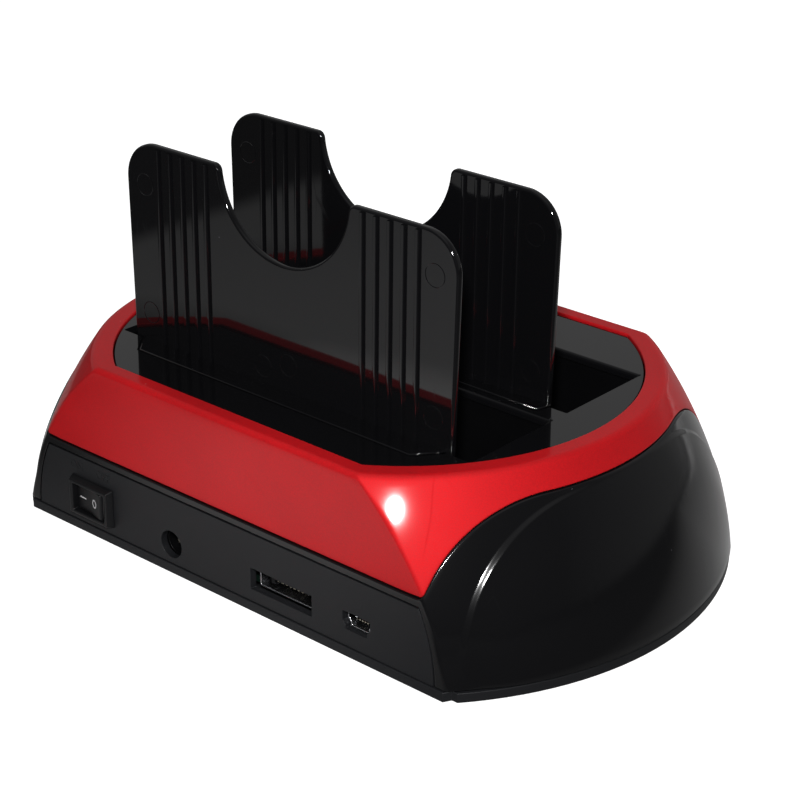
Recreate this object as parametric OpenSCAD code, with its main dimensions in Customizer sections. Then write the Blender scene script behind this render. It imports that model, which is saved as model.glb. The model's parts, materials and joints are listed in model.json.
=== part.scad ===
/* [Drives] */
// Width of the drive that a bay takes
drive_w = 101.6; // [98:0.2:106]
// Thickness of the drive that a bay takes
drive_t = 26.1; // [24:0.1:28]
// Room beside the drive at each end of a bay
bay_gap_x = 5; // [3:0.1:7]
// Room between the drive and the long faces of a bay, both sides together
bay_gap_y = 0.5; // [0.3:0.1:1.5]
// Width of deck left between the two bays
bay_bridge = 6; // [5:0.1:9]
// Offset of the pair of bays from the middle of the deck
bay_shift = -0.45; // [-1:0.05:1]
// Thickness of a bay well's walls
bay_wall = 1.5; // [1:0.1:2]
// Height of the bay floors above the underside
bay_floor_z = 12.5; // [11.5:0.1:15]

/* [Body] */
// Height of the red shell's rim above the underside
body_h = 45.5; // [43:0.5:52]
// Height of the parting line on the rear and front faces
parting_z = 22; // [20.5:0.25:24]
// Height of the parting line at the middle of the sides
parting_top = 39.7; // [38:0.1:41]
// Radius of the parting line's shoulders
parting_r = 34.7; // [33:0.1:37]
// Width of the gap along a parting line
parting_gap = 0.3; // [0.2:0.05:0.4]
// Distance of each rounded side's axis from the middle
side_axis_x = 7.4; // [5:0.2:10]
// Radius of the lower upright curve of the flanks
flank_r = 53.1; // [48:0.1:60]
// Height of the lower curve's centre
flank_z = 1.2; // [0:0.1:2]
// Radius of the flatter upper curve of the flanks
crown_r = 124; // [100:1:180]
// Distance from the ends of the parting line down to where the upper curve starts
turn_drop = 1; // [0.8:0.1:2]
// Wall thickness of the housing and the shell
wall = 2.2; // [1.6:0.1:2.8]
// Width of the red rim beside the deck
rim_side = 4.9; // [4:0.1:7]
// Width of the red rim behind and in front of the deck
rim_end = 5.1; // [4.5:0.1:7]
// Rounding of the rim along the flanks
rim_side_round = 2.4; // [1:0.1:3]
// Rounding of the rim along the rear and front faces
rim_end_round = 1.4; // [0.4:0.1:2]
// How far the red shell's ends stand behind the housing's
shell_step = 0.4; // [0:0.1:0.8]

/* [Side bulge] */
// Distance from the crease around each side bulge to the rear and front faces
crease_margin = 2.9; // [1:0.1:4]
// Distance from the crease to the parting line at the middle of the sides
crease_drop = 0.3; // [0.2:0.05:1.5]
// Radius of the crease's shoulders
crease_r = 36; // [34:0.5:40]
// Rise of the crease's middle above its shoulders
crease_crown = 0.8; // [0.4:0.1:2]
// Radius of the bulge's upright curve
bulge_r = 86; // [80:0.5:100]
// How far the bulge stands out at its foot
bulge_low = 1.65; // [1.3:0.05:2]
// How far the bulge stands out at its top
bulge_high = 0.9; // [0.4:0.05:1.2]

/* [Deck] */
// Thickness of the deck
deck_t = 2; // [1.6:0.1:2.6]
// Drop from the red rim to the deck
deck_drop = 0.6; // [0.4:0.1:1.6]
// Deck left outside the corners of the bays
deck_margin = 0.7; // [0.6:0.1:3]
// Deck left behind the rear bay and in front of the front bay
deck_apron = 17.05; // [15:0.05:20]
// Rounding of the bays' front edges
lip_round = 0.9; // [0.4:0.1:1.4]
// Width of the ledge that carries the deck
ledge_w = 1.8; // [1.2:0.1:2.5]

/* [Base] */
// Thickness of the base
base_t = 2; // [1.6:0.1:3]
// How far the base stands out past the housing
base_edge = 0.3; // [0.1:0.05:0.6]
// How far the base's underside lies below the level that heights are taken from
base_under = 0.4; // [0:0.1:0.5]
// How far the base's ends reach past the housing's corners
base_corner = 0.8; // [0.3:0.1:1.2]
// How far the base stands back from the foot of the bulge
base_back = 0.2; // [0:0.05:0.4]
// Depth of the step in the corners of the base
base_step = 1.9; // [1:0.1:3]
// Slant of that step
base_slant = 1; // [0:0.1:2]
// Height of the locating rib inside the housing
base_rib_h = 2.2; // [1.5:0.1:3]
// Diameter of the rubber feet
foot_d = 10; // [8:0.5:12]
// How far the feet stand below the base
foot_stand = 0.8; // [0.5:0.1:2]
// How deep the feet sit in the base
foot_sink = 0.8; // [0.5:0.1:1]
// Length of the vent slots in the base
vent_l = 22; // [14:1:28]
// Width of the vent slots in the base
vent_w = 2; // [1.5:0.1:2.5]

/* [End panels] */
// Thickness of the rear and front panels
panel_t = 2; // [1.6:0.1:2.6]
// Height of the panels' upper edge
panel_top = 19.7; // [18:0.1:20]
// Width of the housing left beside a panel
panel_margin = 2.2; // [1.6:0.1:3]
// Width of the seam around a panel
panel_gap = 0.4; // [0.2:0.05:0.5]
// Thickness of the ledge behind a panel
panel_ledge_t = 1.2; // [0.8:0.1:2]
// Width of the ledge behind a panel
panel_ledge_w = 1.2; // [0.8:0.1:1.8]

/* [Drive supports] */
// Height of the supports' upper edge
support_top = 95.4; // [80:0.1:110]
// Thickness of a support
support_t = 1.8; // [1.4:0.1:2.2]
// Half width of a support at its foot
support_half = 51; // [48:0.1:53]
// Offset of the supports from the middle
support_shift = -0.8; // [-1.5:0.1:0.5]
// Growth of the half width up to the top
support_flare = 0.9; // [0:0.1:2]
// Radius of the upper outer corners
support_corner_r = 9.5; // [5:0.1:14]
// Radius of the finger cut-out
finger_r = 20.4; // [16:0.1:22]
// Height of the finger cut-out's centre above the upper edge
finger_rise = 0.9; // [0.2:0.1:3]
// Rounding where the cut-out meets the upper edge
finger_lip_r = 1.9; // [0.6:0.1:2.4]
// Number of stiffening ribs on each ear
rib_count = 5; // [3:1:5]
// Distance from the middle to the first rib
rib_first = 24.5; // [24.5:0.1:27]
// Distance between ribs
rib_pitch = 4; // [3:0.1:4.4]
// Width of a rib at its root
rib_w = 1.4; // [1:0.1:2]
// How far a rib stands out
rib_proud = 0.7; // [0.4:0.05:1]
// Distance from the upper edge to the ribs
rib_drop = 1.4; // [0.8:0.1:4]
// Thickness of the foot flange that lies on the deck
flange_t = 0.5; // [0.4:0.05:1]
// How deep the flanges lie in the deck
flange_sink = 0.45; // [0.3:0.05:0.6]
// Reach of the rear support's flange
rear_flange = 6.5; // [4:0.1:9]
// Reach of the front support's flange
front_flange = 3.5; // [2:0.1:4.2]
// Cut at each end of the rear support's flange
rear_flange_cut = 7.5; // [1:0.1:12]
// Cut at each end of the front support's flange
front_flange_cut = 1.5; // [0.5:0.1:6]
// Depth of the tongue that drops into the bay
tongue_depth = 18; // [10:0.5:24]
// Running gap around the supports
support_gap = 0.3; // [0.25:0.05:0.5]

/* [Power switch] */
// Distance of the switch's middle from the rear panel's end
switch_inset = 19.65; // [19:0.05:23]
// Height of the switch
switch_z = 9.4; // [9:0.1:11]
// Length of the switch's bezel
bezel_w = 15; // [14:0.1:17]
// Height of the switch's bezel
bezel_h = 10.4; // [10:0.1:12]
// How far the bezel stands out of the panel
bezel_proud = 2; // [1:0.1:2.5]
// Slope of the bezel's sides, as the amount its front face is smaller
bezel_slope = 0.7; // [0.3:0.1:1]
// Depth of the switch body behind the panel's face
switch_depth = 11; // [10:0.1:13]
// Radius of the rocker's ends about its pivot
rocker_r = 5.4; // [5:0.1:5.5]
// Height of the rocker
rocker_h = 6.8; // [6:0.1:7]
// Tilt of the rocker either way from its middle position
rocker_tilt = 8; // [6:0.5:10]
// Slope of each half of the rocker's hollow face
rocker_slope = 4; // [2:0.5:5]
// Depth of the rocker's face at its middle above the pivot
rocker_rise = 2.2; // [1.8:0.1:2.4]
// Diameter of the rocker's pivot pins
pivot_d = 1.6; // [1.4:0.1:2]
// Radial play of the pivot pins
pivot_play = 0.05; // [0.03:0.01:0.08]
// Running gap around the rocker
rocker_gap = 0.25; // [0.2:0.05:0.3]

/* [Rear sockets] */
// Place of the power inlet along the rear panel
inlet_x = -16.9; // [-20:0.1:-14]
// Height of the power inlet
inlet_z = 7.2; // [7:0.1:8]
// Diameter of the inlet's hole in the panel
inlet_hole_d = 7; // [6.6:0.1:8]
// Diameter of the inlet's bore
inlet_bore_d = 6.3; // [5.8:0.1:6.4]
// Diameter of the inlet's centre pin
inlet_pin_d = 2; // [1.6:0.1:2.5]
// Place of the wide data socket along the rear panel
data_x = 19.4; // [17:0.1:22]
// Height of the wide data socket
data_z = 8.1; // [8:0.1:8.8]
// Width of the wide data socket's opening
data_w = 19.3; // [18:0.1:21]
// Height of the wide data socket's opening
data_h = 5.4; // [5:0.1:5.8]
// Distance of the small data socket's middle from the rear panel's end
mini_inset = 21.75; // [19:0.05:25]
// Width of the small data socket's shell
mini_w = 7.7; // [7:0.1:8]
// Height of the small data socket's shell
mini_h = 4; // [3.8:0.1:4.2]
// Gap between a socket and its hole in the panel
socket_gap = 0.2; // [0.15:0.05:0.4]

/* [Board] */
// Thickness of the circuit board
board_t = 1.6; // [1.2:0.1:2]
// Height of the posts under the board
post_h = 3.1; // [2.9:0.1:3.6]
// Length of a drive socket
drive_socket_w = 42; // [38:0.5:44]
// Depth of a drive socket
drive_socket_d = 6.2; // [5.6:0.1:7]
// How far a drive socket stands above the bay floor
drive_socket_rise = 4; // [3:0.1:6]
// Offset of the drive sockets from the middle of the bays
drive_socket_x = 20.7; // [16:0.1:21]
// Distance of the drive sockets from the bays' front faces
drive_socket_inset = 6; // [5:0.1:9]
// Diameter of the capacitors
capacitor_d = 6.3; // [5:0.1:8]
// Height of the capacitors
capacitor_h = 11; // [8:0.5:13]

/* [Front panel] */
// Place of the backup button along the front panel
button_x = 22; // [18:0.5:26]
// Width of the backup button
button_w = 8; // [7:0.1:10]
// Height of the backup button
button_h = 5; // [4:0.1:6]
// Travel of the backup button
button_travel = 0.8; // [0.5:0.1:1.2]
// Place of the status lights' middle along the front panel
light_x = -22; // [-26:0.5:-18]
// Distance between the status lights
light_pitch = 9; // [7:0.5:12]
// Diameter of the status lights' windows
light_d = 3; // [2.5:0.1:4]
// Height of the front controls above the board
control_rise = 3.8; // [3.6:0.1:4.5]

/* [Screws] */
// Diameter of the base screws' shanks
base_screw_d = 2.8; // [2.4:0.1:3]
// Diameter of the base screws' heads
base_screw_head_d = 5.6; // [5:0.1:6]
// Diameter of the board screws' shanks
board_screw_d = 2.4; // [2:0.1:2.6]
// Diameter of the board screws' heads
board_screw_head_d = 5.2; // [4.6:0.1:5.6]
// Play around a screw's shank
screw_play = 0.1; // [0.05:0.01:0.2]

/* [Hidden] */
$fn = 48;
smooth_fn = 200;
far = 200;
eps = 0.01;
seat = 0.15;

// The bays, from the rear one's near face to the front one's far face
bay_half = drive_w / 2 + bay_gap_x;
bay_depth = support_gap + support_t + drive_t + bay_gap_y;
bay_pitch = bay_depth + bay_bridge;
rear_bay_y = bay_shift - bay_bridge / 2 - bay_depth;
front_bay_y = rear_bay_y + bay_pitch;
bay_end_y = max(-rear_bay_y, front_bay_y + bay_depth);

// The deck around the bays, the red rim around the deck
deck_r = norm([bay_half - side_axis_x, bay_end_y]) + deck_margin;
deck_half = bay_end_y + deck_apron;
deck_z = body_h - deck_drop;
half_depth = deck_half + parting_gap + rim_end;
rim_r = deck_r + parting_gap + rim_side;

// The flank: an upright arc that runs on into a flatter one
turn_z = parting_z - turn_drop;
flank_angle = asin((turn_z - flank_z) / flank_r);
crown_z = flank_z - (crown_r - flank_r) * sin(flank_angle);
crown_c = rim_r - sqrt(pow(crown_r, 2) - pow(body_h - crown_z, 2));
flank_c = crown_c + (crown_r - flank_r) * cos(flank_angle);
side_r = flank_c + flank_r;
function crown_radius(z, inset) = crown_c + sqrt(pow(crown_r - inset, 2) - pow(z - crown_z, 2));
function tangent_z(inset) = flank_z + (flank_r - inset) * sin(flank_angle);
function flank_radius(z) =
  z > turn_z ? crown_radius(z, 0) : flank_c + sqrt(pow(flank_r, 2) - pow(z - flank_z, 2));
function corner_x(z) = side_axis_x + sqrt(pow(flank_radius(z), 2) - pow(half_depth, 2));

// The parting line between the black housing and the red shell
shoulder_z = parting_top - parting_r;
shoulder_y = half_depth - sqrt(pow(parting_r, 2) - pow(parting_z - shoulder_z, 2));
crease_top = parting_top - crease_drop;

// The bulge's arc, through a point at its foot and a point at its top
bulge_foot = [side_r + bulge_low, base_t];
bulge_crown = [crown_radius(crease_top, 0) + bulge_high, crease_top];
bulge_chord = bulge_crown - bulge_foot;
base_r = bulge_foot[0] - base_back;
bulge_away = sqrt(pow(bulge_r, 2) - pow(norm(bulge_chord) / 2, 2)) / norm(bulge_chord);
bulge_centre = (bulge_foot + bulge_crown) / 2 + bulge_away * [-bulge_chord[1], bulge_chord[0]];

// The crease: a wide arc over the middle that runs on into a shoulder at each end
crease_reach = half_depth - crease_margin - crease_r;
crease_z = crease_top - crease_crown - crease_r;
crease_wide_r = crease_r + (pow(crease_reach, 2) + pow(crease_crown, 2)) / (2 * crease_crown);

// Levels inside
end_wall = panel_t + panel_ledge_t;
housing_z = base_t + seat;
board_z = base_t + post_h;
board_top = board_z + board_t;
well_top = deck_z - deck_t - seat;
well_bottom = bay_floor_z - bay_wall;
control_z = board_top + control_rise;
board_half = bay_half;
board_gap = 0.6;
board_end = half_depth - end_wall - board_gap;

// The supports
flange_top = deck_z - flange_sink + seat + flange_t;
flange_play = 0.3;
flare = support_flare / (support_top - flange_top);
rib_taper = 0.25;

// The switch
switch_x = switch_inset + panel_margin - corner_x(switch_z);
pivot_inset = rocker_rise + rocker_r * sin(rocker_tilt + rocker_slope);
pivot_y = -half_depth - bezel_proud + pivot_inset;
pocket_w = 2 * (rocker_r + rocker_gap);
pocket_h = rocker_h + 2 * rocker_gap;
pivot_end_gap = 0.2;
switch_wall = 0.8;
switch_w = pocket_w + 2 * switch_wall;
switch_h = pocket_h + 2 * switch_wall;
switch_back = -half_depth + switch_depth;
terminal_l = 7;
terminal_t = 0.8;
terminal_w = 4;
terminal_spread = 7;

// The sockets
socket_front = -half_depth + panel_t + socket_gap;
inlet_body = 9;
inlet_l = 12;
inlet_bore_l = 9.5;
inlet_pin_l = 8.5;
inlet_tail = 1;
data_end_room = 0.8;
data_shell_w = data_w - 2 * data_end_room;
data_shell_h = data_h - 2 * socket_gap;
data_shell_t = 0.5;
data_l = 11;
data_tongue_room = 2.75;
data_tongue_w = data_shell_w - 2 * data_tongue_room;
data_back_t = 2;
tongue_inset = 1;
data_tongue_t = 1.2;
mini_t = 0.4;
mini_l = 9;
mini_sink = 1.4;
mini_z = board_top + mini_h / 2;
mini_x = corner_x(mini_z) - panel_margin - mini_inset;
mini_step = 0.9;
mini_tongue_room = 1.4;
mini_tongue_w = mini_w - 2 * mini_tongue_room;
mini_tongue_t = 1.3;

// The drive sockets
socket_flange = 2;
socket_flange_w = drive_socket_w + 2 * socket_flange;
socket_flange_d = drive_socket_d + socket_flange;
socket_flange_gap = 1;
socket_flange_h = well_bottom - board_top - socket_flange_gap;
socket_top = bay_floor_z + drive_socket_rise;
socket_slot_d = 2.4;
socket_slot_sink = 1.5;
socket_slot_depth = drive_socket_rise + socket_slot_sink;
socket_key = 1.1;
socket_slots = [
  [-0.45 * drive_socket_w, 0.52 * drive_socket_w],
  [0.12 * drive_socket_w, 0.3 * drive_socket_w]
];

// The chips, coils and crystal cans on the board
chip_w = 12;
chip_h = 1.4;
chip_gap = 6;
chip_lead = 1;
chip_lead_t = 0.3;
coil_w = 7;
coil_h = 4;
coil_first = 2.4 * coil_w;
coil_pitch = 1.3 * coil_w;
can_l = 7;
can_d = 4.2;
can_h = 3.4;
can_gap = 36;

// Screws, posts and bosses
boss_r = 3.5;
boss_gap = 1.1;
boss_inset = 6.4;
boss_x = bay_half + bay_wall + boss_r + boss_gap;
boss_y = half_depth - end_wall - boss_inset;
boss_h = 11;
boss_rib_t = 2;
boss_rib_lap = 0.3;
screw_well_h = 2.8;
screw_well_t = 1.5;
base_boss_z = base_t + screw_well_h + seat;
base_screw_sink = 0.6;
base_screw_head_h = 1.7;
base_screw_l = 10.5;
post_r = 3.2;
post_inset_x = 5.8;
post_inset_y = 2;
post_x = bay_half - post_inset_x;
post_y = bay_end_y - post_inset_y;
board_screw_head_h = 1.6;
board_screw_l = 4;
foot_gap = 5;
foot_x = boss_x - foot_d / 2 - foot_gap;
foot_y = boss_y - foot_gap;

// The front controls
button_proud = bezel_proud;
button_gap = 0.3;
button_flange = 1.1;
button_flange_t = 1;
button_stem_d = 3;
button_stem_l = 3.6;
button_inner_y = half_depth - panel_t - button_gap - button_flange_t;
tact_w = 6;
tact_d = 3.6;
tact_plunger_d = 3.2;
tact_plunger_l = 1.2;
tact_y = button_inner_y - button_stem_l - button_travel - button_gap - tact_plunger_l - tact_d;
light_l = 8;
light_flange = 0.8;
light_flange_d = light_d + 2 * light_flange;
light_flange_t = 0.8;
light_play = 0.1;
led_gap = 0.3;
led_l = 4.5;
led_leg = 0.5;
led_leg_pitch = 1.6;

module lift() translate([0, 0, foot_stand]) children();

module each_side() for (s = [0, 1]) mirror([s, 0, 0]) children();

module each_end() for (s = [0, 1]) mirror([0, s, 0]) children();

// An outline in X and Z, drawn out along Y from y0 to y1
module along_y(y0, y1)
  translate([0, y1, 0]) rotate([90, 0, 0]) linear_extrude(height = y1 - y0) children();

// An outline in Y and Z, drawn out along X from x0 to x1
module along_x(x0, x1)
  translate([x0, 0, 0]) rotate([90, 0, 90]) linear_extrude(height = x1 - x0) children();

module box(x0, x1, y0, y1, z0, z1) translate([x0, y0, z0]) cube([x1 - x0, y1 - y0, z1 - z0]);

module bar_y(d, y0, y1) translate([0, y0, 0]) rotate([-90, 0, 0]) cylinder(d = d, h = y1 - y0);

module at_corners(x, y) for (sx = [-1, 1], sy = [-1, 1]) translate([sx * x, sy * y, 0]) children();

// Section of a flank, from the axis out to the wall, set in by a wall's thickness
module flank_section(inset, z0, z1) intersection() {
  union() {
    intersection() {
      translate([flank_c, flank_z]) circle(r = flank_r - inset, $fn = smooth_fn);
      polygon([[0, -far], [far, -far], [far, tangent_z(inset)], [0, tangent_z(inset)]]);
    }
    intersection() {
      translate([crown_c, crown_z]) circle(r = crown_r - inset, $fn = 2 * smooth_fn);
      polygon([[0, tangent_z(inset)], [far, tangent_z(inset)], [far, body_h], [0, body_h]]);
    }
  }
  translate([0, z0]) square([far, z1 - z0]);
}

// The two rounded sides, cut off flat at the rear and the front
module between_ends(z0, z1, end_inset) intersection() {
  union() for (s = [-1, 1]) translate([s * side_axis_x, 0, 0]) rotate_extrude($fn = smooth_fn) children();
  box(-far, far, -half_depth + end_inset, half_depth - end_inset, z0, z1);
}

module body_solid(inset, end_inset, z0, z1)
  between_ends(z0, z1, end_inset) flank_section(inset, z0, z1);

// Everything below the parting line, seen from the side
module parting_outline(grow) {
  translate([-shoulder_y, -far]) square([2 * shoulder_y, far + parting_top + grow]);
  translate([-far, -far]) square([2 * far, far + shoulder_z]);
  each_side() translate([shoulder_y, shoulder_z]) intersection() {
    circle(r = parting_r + grow, $fn = smooth_fn);
    square(far);
  }
}

// The outline of the raised part of a side, seen from the side
module crease_outline() {
  wide_z = crease_top - crease_wide_r;
  meet = 2 * [crease_reach, crease_z - wide_z];
  intersection() {
    translate([0, wide_z]) circle(r = crease_wide_r, $fn = 4 * smooth_fn);
    polygon([[0, wide_z], [meet[0], wide_z + meet[1]], [-meet[0], wide_z + meet[1]]]);
  }
  each_side() intersection() {
    translate([crease_reach, crease_z]) circle(r = crease_r, $fn = smooth_fn);
    polygon([[0, wide_z], [far, wide_z], [meet[0], wide_z + meet[1]]]);
  }
}

module bulge() each_side() intersection() {
  translate([side_axis_x, 0, 0]) rotate_extrude($fn = smooth_fn) intersection() {
    translate(bulge_centre) circle(r = bulge_r, $fn = 2 * smooth_fn);
    translate([0, housing_z]) square([far, crease_top]);
  }
  along_x(side_axis_x, far) crease_outline();
}

// The outline of an end panel, following the housing's corners
module panel_outline(grow) {
  steps = 10;
  z0 = housing_z - grow;
  z1 = panel_top + grow;
  side = [
    for (i = [0 : steps])
      let (z = z0 + (z1 - z0) * i / steps)
      [corner_x(z) - panel_margin + grow, z]
  ];
  polygon(concat(side, [for (i = [steps : -1 : 0]) [-side[i][0], side[i][1]]]));
}

module base_outline(z0, z1) intersection() {
  union() for (s = [-1, 1]) translate([s * side_axis_x, 0, z0])
    cylinder(r = base_r, h = z1 - z0, $fn = smooth_fn);
  box(-far, far, -half_depth - base_edge, half_depth + base_edge, z0, z1);
}

module base_corner_cut() each_side() each_end() {
  out_y = half_depth + base_edge;
  corner = corner_x(housing_z) + base_corner;
  linear_extrude(height = 3 * base_t, center = true) polygon([
    [corner, far],
    [corner, out_y],
    [corner + base_slant, out_y - base_step],
    [far, out_y - base_step],
    [far, far]
  ]);
}

module base_rib() intersection() {
  difference() {
    body_solid(wall + parting_gap, end_wall, base_t - eps, base_t + base_rib_h);
    body_solid(2 * wall + parting_gap, -wall, 0, parting_z);
  }
  box(-far, far, -boss_y + 2 * boss_r, boss_y - 2 * boss_r, 0, body_h);
}

module vents() {
  count = 5;
  pitch = 2.5 * vent_w;
  middle = 5;
  for (sx = [-1, 1], i = [0 : count - 1])
    translate([sx * (vent_l / 2 + middle), (i - (count - 1) / 2) * pitch, 0])
      linear_extrude(height = 3 * base_t, center = true) {
        square([vent_l - vent_w, vent_w], center = true);
        for (e = [-1, 1]) translate([e * (vent_l - vent_w) / 2, 0]) circle(d = vent_w);
      }
}

module base_plate() color("#232427") lift() {
  difference() {
    union() {
      base_outline(-base_under, base_t);
      at_corners(boss_x, boss_y)
        cylinder(d = base_screw_head_d + 2 * (screw_play + screw_well_t), h = base_t + screw_well_h);
      at_corners(post_x, post_y) cylinder(r = post_r, h = board_z - seat / 2);
    }
    at_corners(boss_x, boss_y) {
      translate([0, 0, -1]) cylinder(d = base_screw_d + 2 * screw_play, h = far);
      translate([0, 0, -1])
        cylinder(d = base_screw_head_d + 2 * screw_play, h = 1 + base_screw_sink + base_screw_head_h);
    }
    at_corners(post_x, post_y)
      translate([0, 0, base_t]) cylinder(d = board_screw_d + 2 * screw_play, h = far);
    at_corners(foot_x, foot_y) translate([0, 0, -1])
      cylinder(d = foot_d + 2 * screw_play, h = 1 + foot_sink);
    vents();
    base_corner_cut();
  }
  base_rib();
}

module rubber_feet() color("#161617") at_corners(foot_x, foot_y) {
  chamfer = 0.5;
  cylinder(d1 = foot_d - 2 * chamfer, d2 = foot_d, h = chamfer);
  translate([0, 0, chamfer]) cylinder(d = foot_d, h = foot_stand + foot_sink - chamfer);
}

module base_screws() color("silver") lift() at_corners(boss_x, boss_y) translate([0, 0, base_screw_sink]) {
  cylinder(d = base_screw_head_d, h = base_screw_head_h);
  translate([0, 0, base_screw_head_h - eps]) cylinder(d = base_screw_d, h = base_screw_l);
}

module lower_housing() color("#0c0c0d") lift() {
  mouth_x = corner_x(housing_z) - panel_margin - panel_ledge_w;
  difference() {
    intersection() {
      union() {
        body_solid(0, 0, housing_z, body_h);
        bulge();
      }
      along_x(-far, far) parting_outline(-parting_gap / 2);
    }
    body_solid(wall, end_wall, 0, body_h);
    each_end() {
      along_y(-half_depth - 1, -half_depth + panel_t) panel_outline(panel_gap);
      along_y(-half_depth - 1, -half_depth + end_wall + 1) panel_outline(-panel_ledge_w);
      box(-mouth_x, mouth_x, -half_depth - 1, -half_depth + end_wall + 1, 0, 2 * housing_z + panel_ledge_w);
    }
  }
  difference() {
    at_corners(boss_x, boss_y) translate([0, 0, base_boss_z]) cylinder(r = boss_r, h = boss_h);
    at_corners(boss_x, boss_y)
      translate([0, 0, base_boss_z - 1]) cylinder(d = base_screw_d + 2 * screw_play, h = boss_h);
  }
  intersection() {
    each_side() each_end()
      box(boss_x + boss_r - boss_rib_lap, far, boss_y - boss_rib_t / 2, boss_y + boss_rib_t / 2,
        base_boss_z, base_boss_z + boss_h);
    body_solid(wall / 2, end_wall, 0, body_h);
  }
}

// Section of the red shell's flank, with its rim rounded
module shell_section() {
  round_z = body_h - rim_side_round;
  round_r = crown_radius(round_z, rim_side_round);
  touch_z = round_z + rim_side_round * (round_z - crown_z) / (crown_r - rim_side_round);
  flank_section(0, 0, touch_z);
  intersection() {
    union() {
      translate([round_r, round_z]) circle(r = rim_side_round);
      square([round_r, body_h]);
    }
    translate([0, touch_z]) square([far, body_h]);
  }
}

module rim_end_cut() each_end() along_x(-far, far)
  translate([half_depth - shell_step - rim_end_round, body_h - rim_end_round]) difference() {
    square(rim_end_round + 1);
    circle(r = rim_end_round);
  }

module deck_outline(grow) intersection() {
  union() for (s = [-1, 1]) translate([s * side_axis_x, 0]) circle(r = deck_r + grow, $fn = smooth_fn);
  square([far, 2 * (deck_half + grow)], center = true);
}

module top_shell() color("#b3121f") lift() {
  difference() {
    between_ends(0, body_h, shell_step) shell_section();
    body_solid(wall, wall, 0, body_h - wall);
    along_x(-far, far) parting_outline(parting_gap / 2);
    linear_extrude(height = far) deck_outline(parting_gap);
    rim_end_cut();
  }
  ledge_x = corner_x(body_h) - 2 * wall;
  ledge_z = deck_z - deck_t - seat;
  each_end()
    box(-ledge_x, ledge_x, deck_half - ledge_w, half_depth - wall + eps, ledge_z - wall, ledge_z);
}

// The space of one bay, from its rear face, before any clearance
module bay_space(y, grow, z0, z1)
  box(-bay_half - grow, bay_half + grow, y - grow, y + bay_depth + grow, z0, z1);

module lip_cut(y) along_x(-bay_half, bay_half) difference() {
  translate([y + bay_depth - eps, deck_z - lip_round]) square(lip_round + eps);
  translate([y + bay_depth + lip_round, deck_z - lip_round]) circle(r = lip_round);
}

module top_deck() color("#101012") lift() difference() {
  translate([0, 0, deck_z - deck_t]) linear_extrude(height = deck_t) deck_outline(0);
  for (y = [rear_bay_y, front_bay_y]) {
    bay_space(y, 0, 0, far);
    lip_cut(y);
  }
  translate([0, 0, deck_z - flange_sink]) linear_extrude(height = far) {
    flange_outline(rear_bay_y, rear_flange, rear_flange_cut, flange_play);
    flange_outline(front_bay_y, front_flange, front_flange_cut, flange_play);
  }
}

module bay_well(y) lift() difference() {
  bay_space(y, bay_wall, well_bottom, well_top);
  bay_space(y, 0, bay_floor_z, far);
  translate([drive_socket_x, y + bay_depth - drive_socket_inset, 0])
    cube([drive_socket_w + 4 * socket_gap, drive_socket_d + 4 * socket_gap, far], center = true);
}

module rear_bay_well() color("#141416") bay_well(rear_bay_y);

module front_bay_well() color("#141416") bay_well(front_bay_y);

// Outline of a support above the deck, with rounded ears and a finger cut-out
module support_outline() {
  corner_z = support_top - support_corner_r;
  corner_mid = support_half + flare * (corner_z - flange_top) - support_corner_r * sqrt(1 + flare * flare);
  lip_z = support_top - finger_lip_r;
  finger_z = support_top + finger_rise;
  lip_x = sqrt(pow(finger_r + finger_lip_r, 2) - pow(finger_z - lip_z, 2));
  meet_z = finger_z - (finger_z - lip_z) * finger_r / (finger_r + finger_lip_r);
  difference() {
    union() {
      polygon([
        [-support_half, deck_z],
        [support_half, deck_z],
        [corner_mid + support_corner_r * cos(atan(flare)), corner_z - support_corner_r * sin(atan(flare))],
        [corner_mid, support_top],
        [-corner_mid, support_top],
        [-corner_mid - support_corner_r * cos(atan(flare)), corner_z - support_corner_r * sin(atan(flare))]
      ]);
      for (s = [-1, 1]) translate([s * corner_mid, corner_z]) circle(r = support_corner_r);
    }
    translate([0, finger_z]) circle(r = finger_r, $fn = smooth_fn);
    difference() {
      translate([-lip_x, meet_z]) square([2 * lip_x, far]);
      for (s = [-1, 1]) translate([s * lip_x, lip_z]) circle(r = finger_lip_r);
    }
  }
}

module support_rib(y) translate([0, y, flange_top - eps])
  linear_extrude(height = support_top - rib_drop - flange_top)
    polygon([
      [-rib_w / 2, eps],
      [rib_w / 2, eps],
      [rib_w / 2 - rib_taper, -rib_proud],
      [rib_taper - rib_w / 2, -rib_proud]
    ]);

module flange_outline(bay_y, reach, cut, grow) {
  y = bay_y + support_gap;
  side = 1.4 * grow;
  polygon([
    [-support_half + cut / 4 - side, y + eps],
    [-support_half + cut - side, y - reach - grow],
    [support_half - cut + side, y - reach - grow],
    [support_half - cut / 4 + side, y + eps]
  ]);
}

// A support stands against the rear face of its bay; its tongue drops into the bay
module drive_support(bay_y, reach, cut) lift() {
  y = bay_y + support_gap;
  translate([0, 0, flange_top - flange_t]) linear_extrude(height = flange_t)
    flange_outline(bay_y, reach, cut, 0);
  translate([support_shift, 0, 0]) {
    along_y(y, y + support_t) support_outline();
    for (s = [-1, 1], i = [0 : rib_count - 1])
      translate([s * (rib_first + i * rib_pitch), 0, 0]) support_rib(y);
    along_y(y, y + support_t) polygon([
      [-support_half, deck_z + eps],
      [support_half, deck_z + eps],
      [support_half - tongue_depth / 6, deck_z - tongue_depth],
      [tongue_depth / 6 - support_half, deck_z - tongue_depth]
    ]);
  }
}

module rear_drive_support()
  color("#0e0e10") drive_support(rear_bay_y, rear_flange, rear_flange_cut);

module front_drive_support()
  color("#0e0e10") drive_support(front_bay_y, front_flange, front_flange_cut);

module wide_opening(grow) translate([data_x, data_z])
  square([data_w + 2 * grow, data_h + 2 * grow], center = true);

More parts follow.
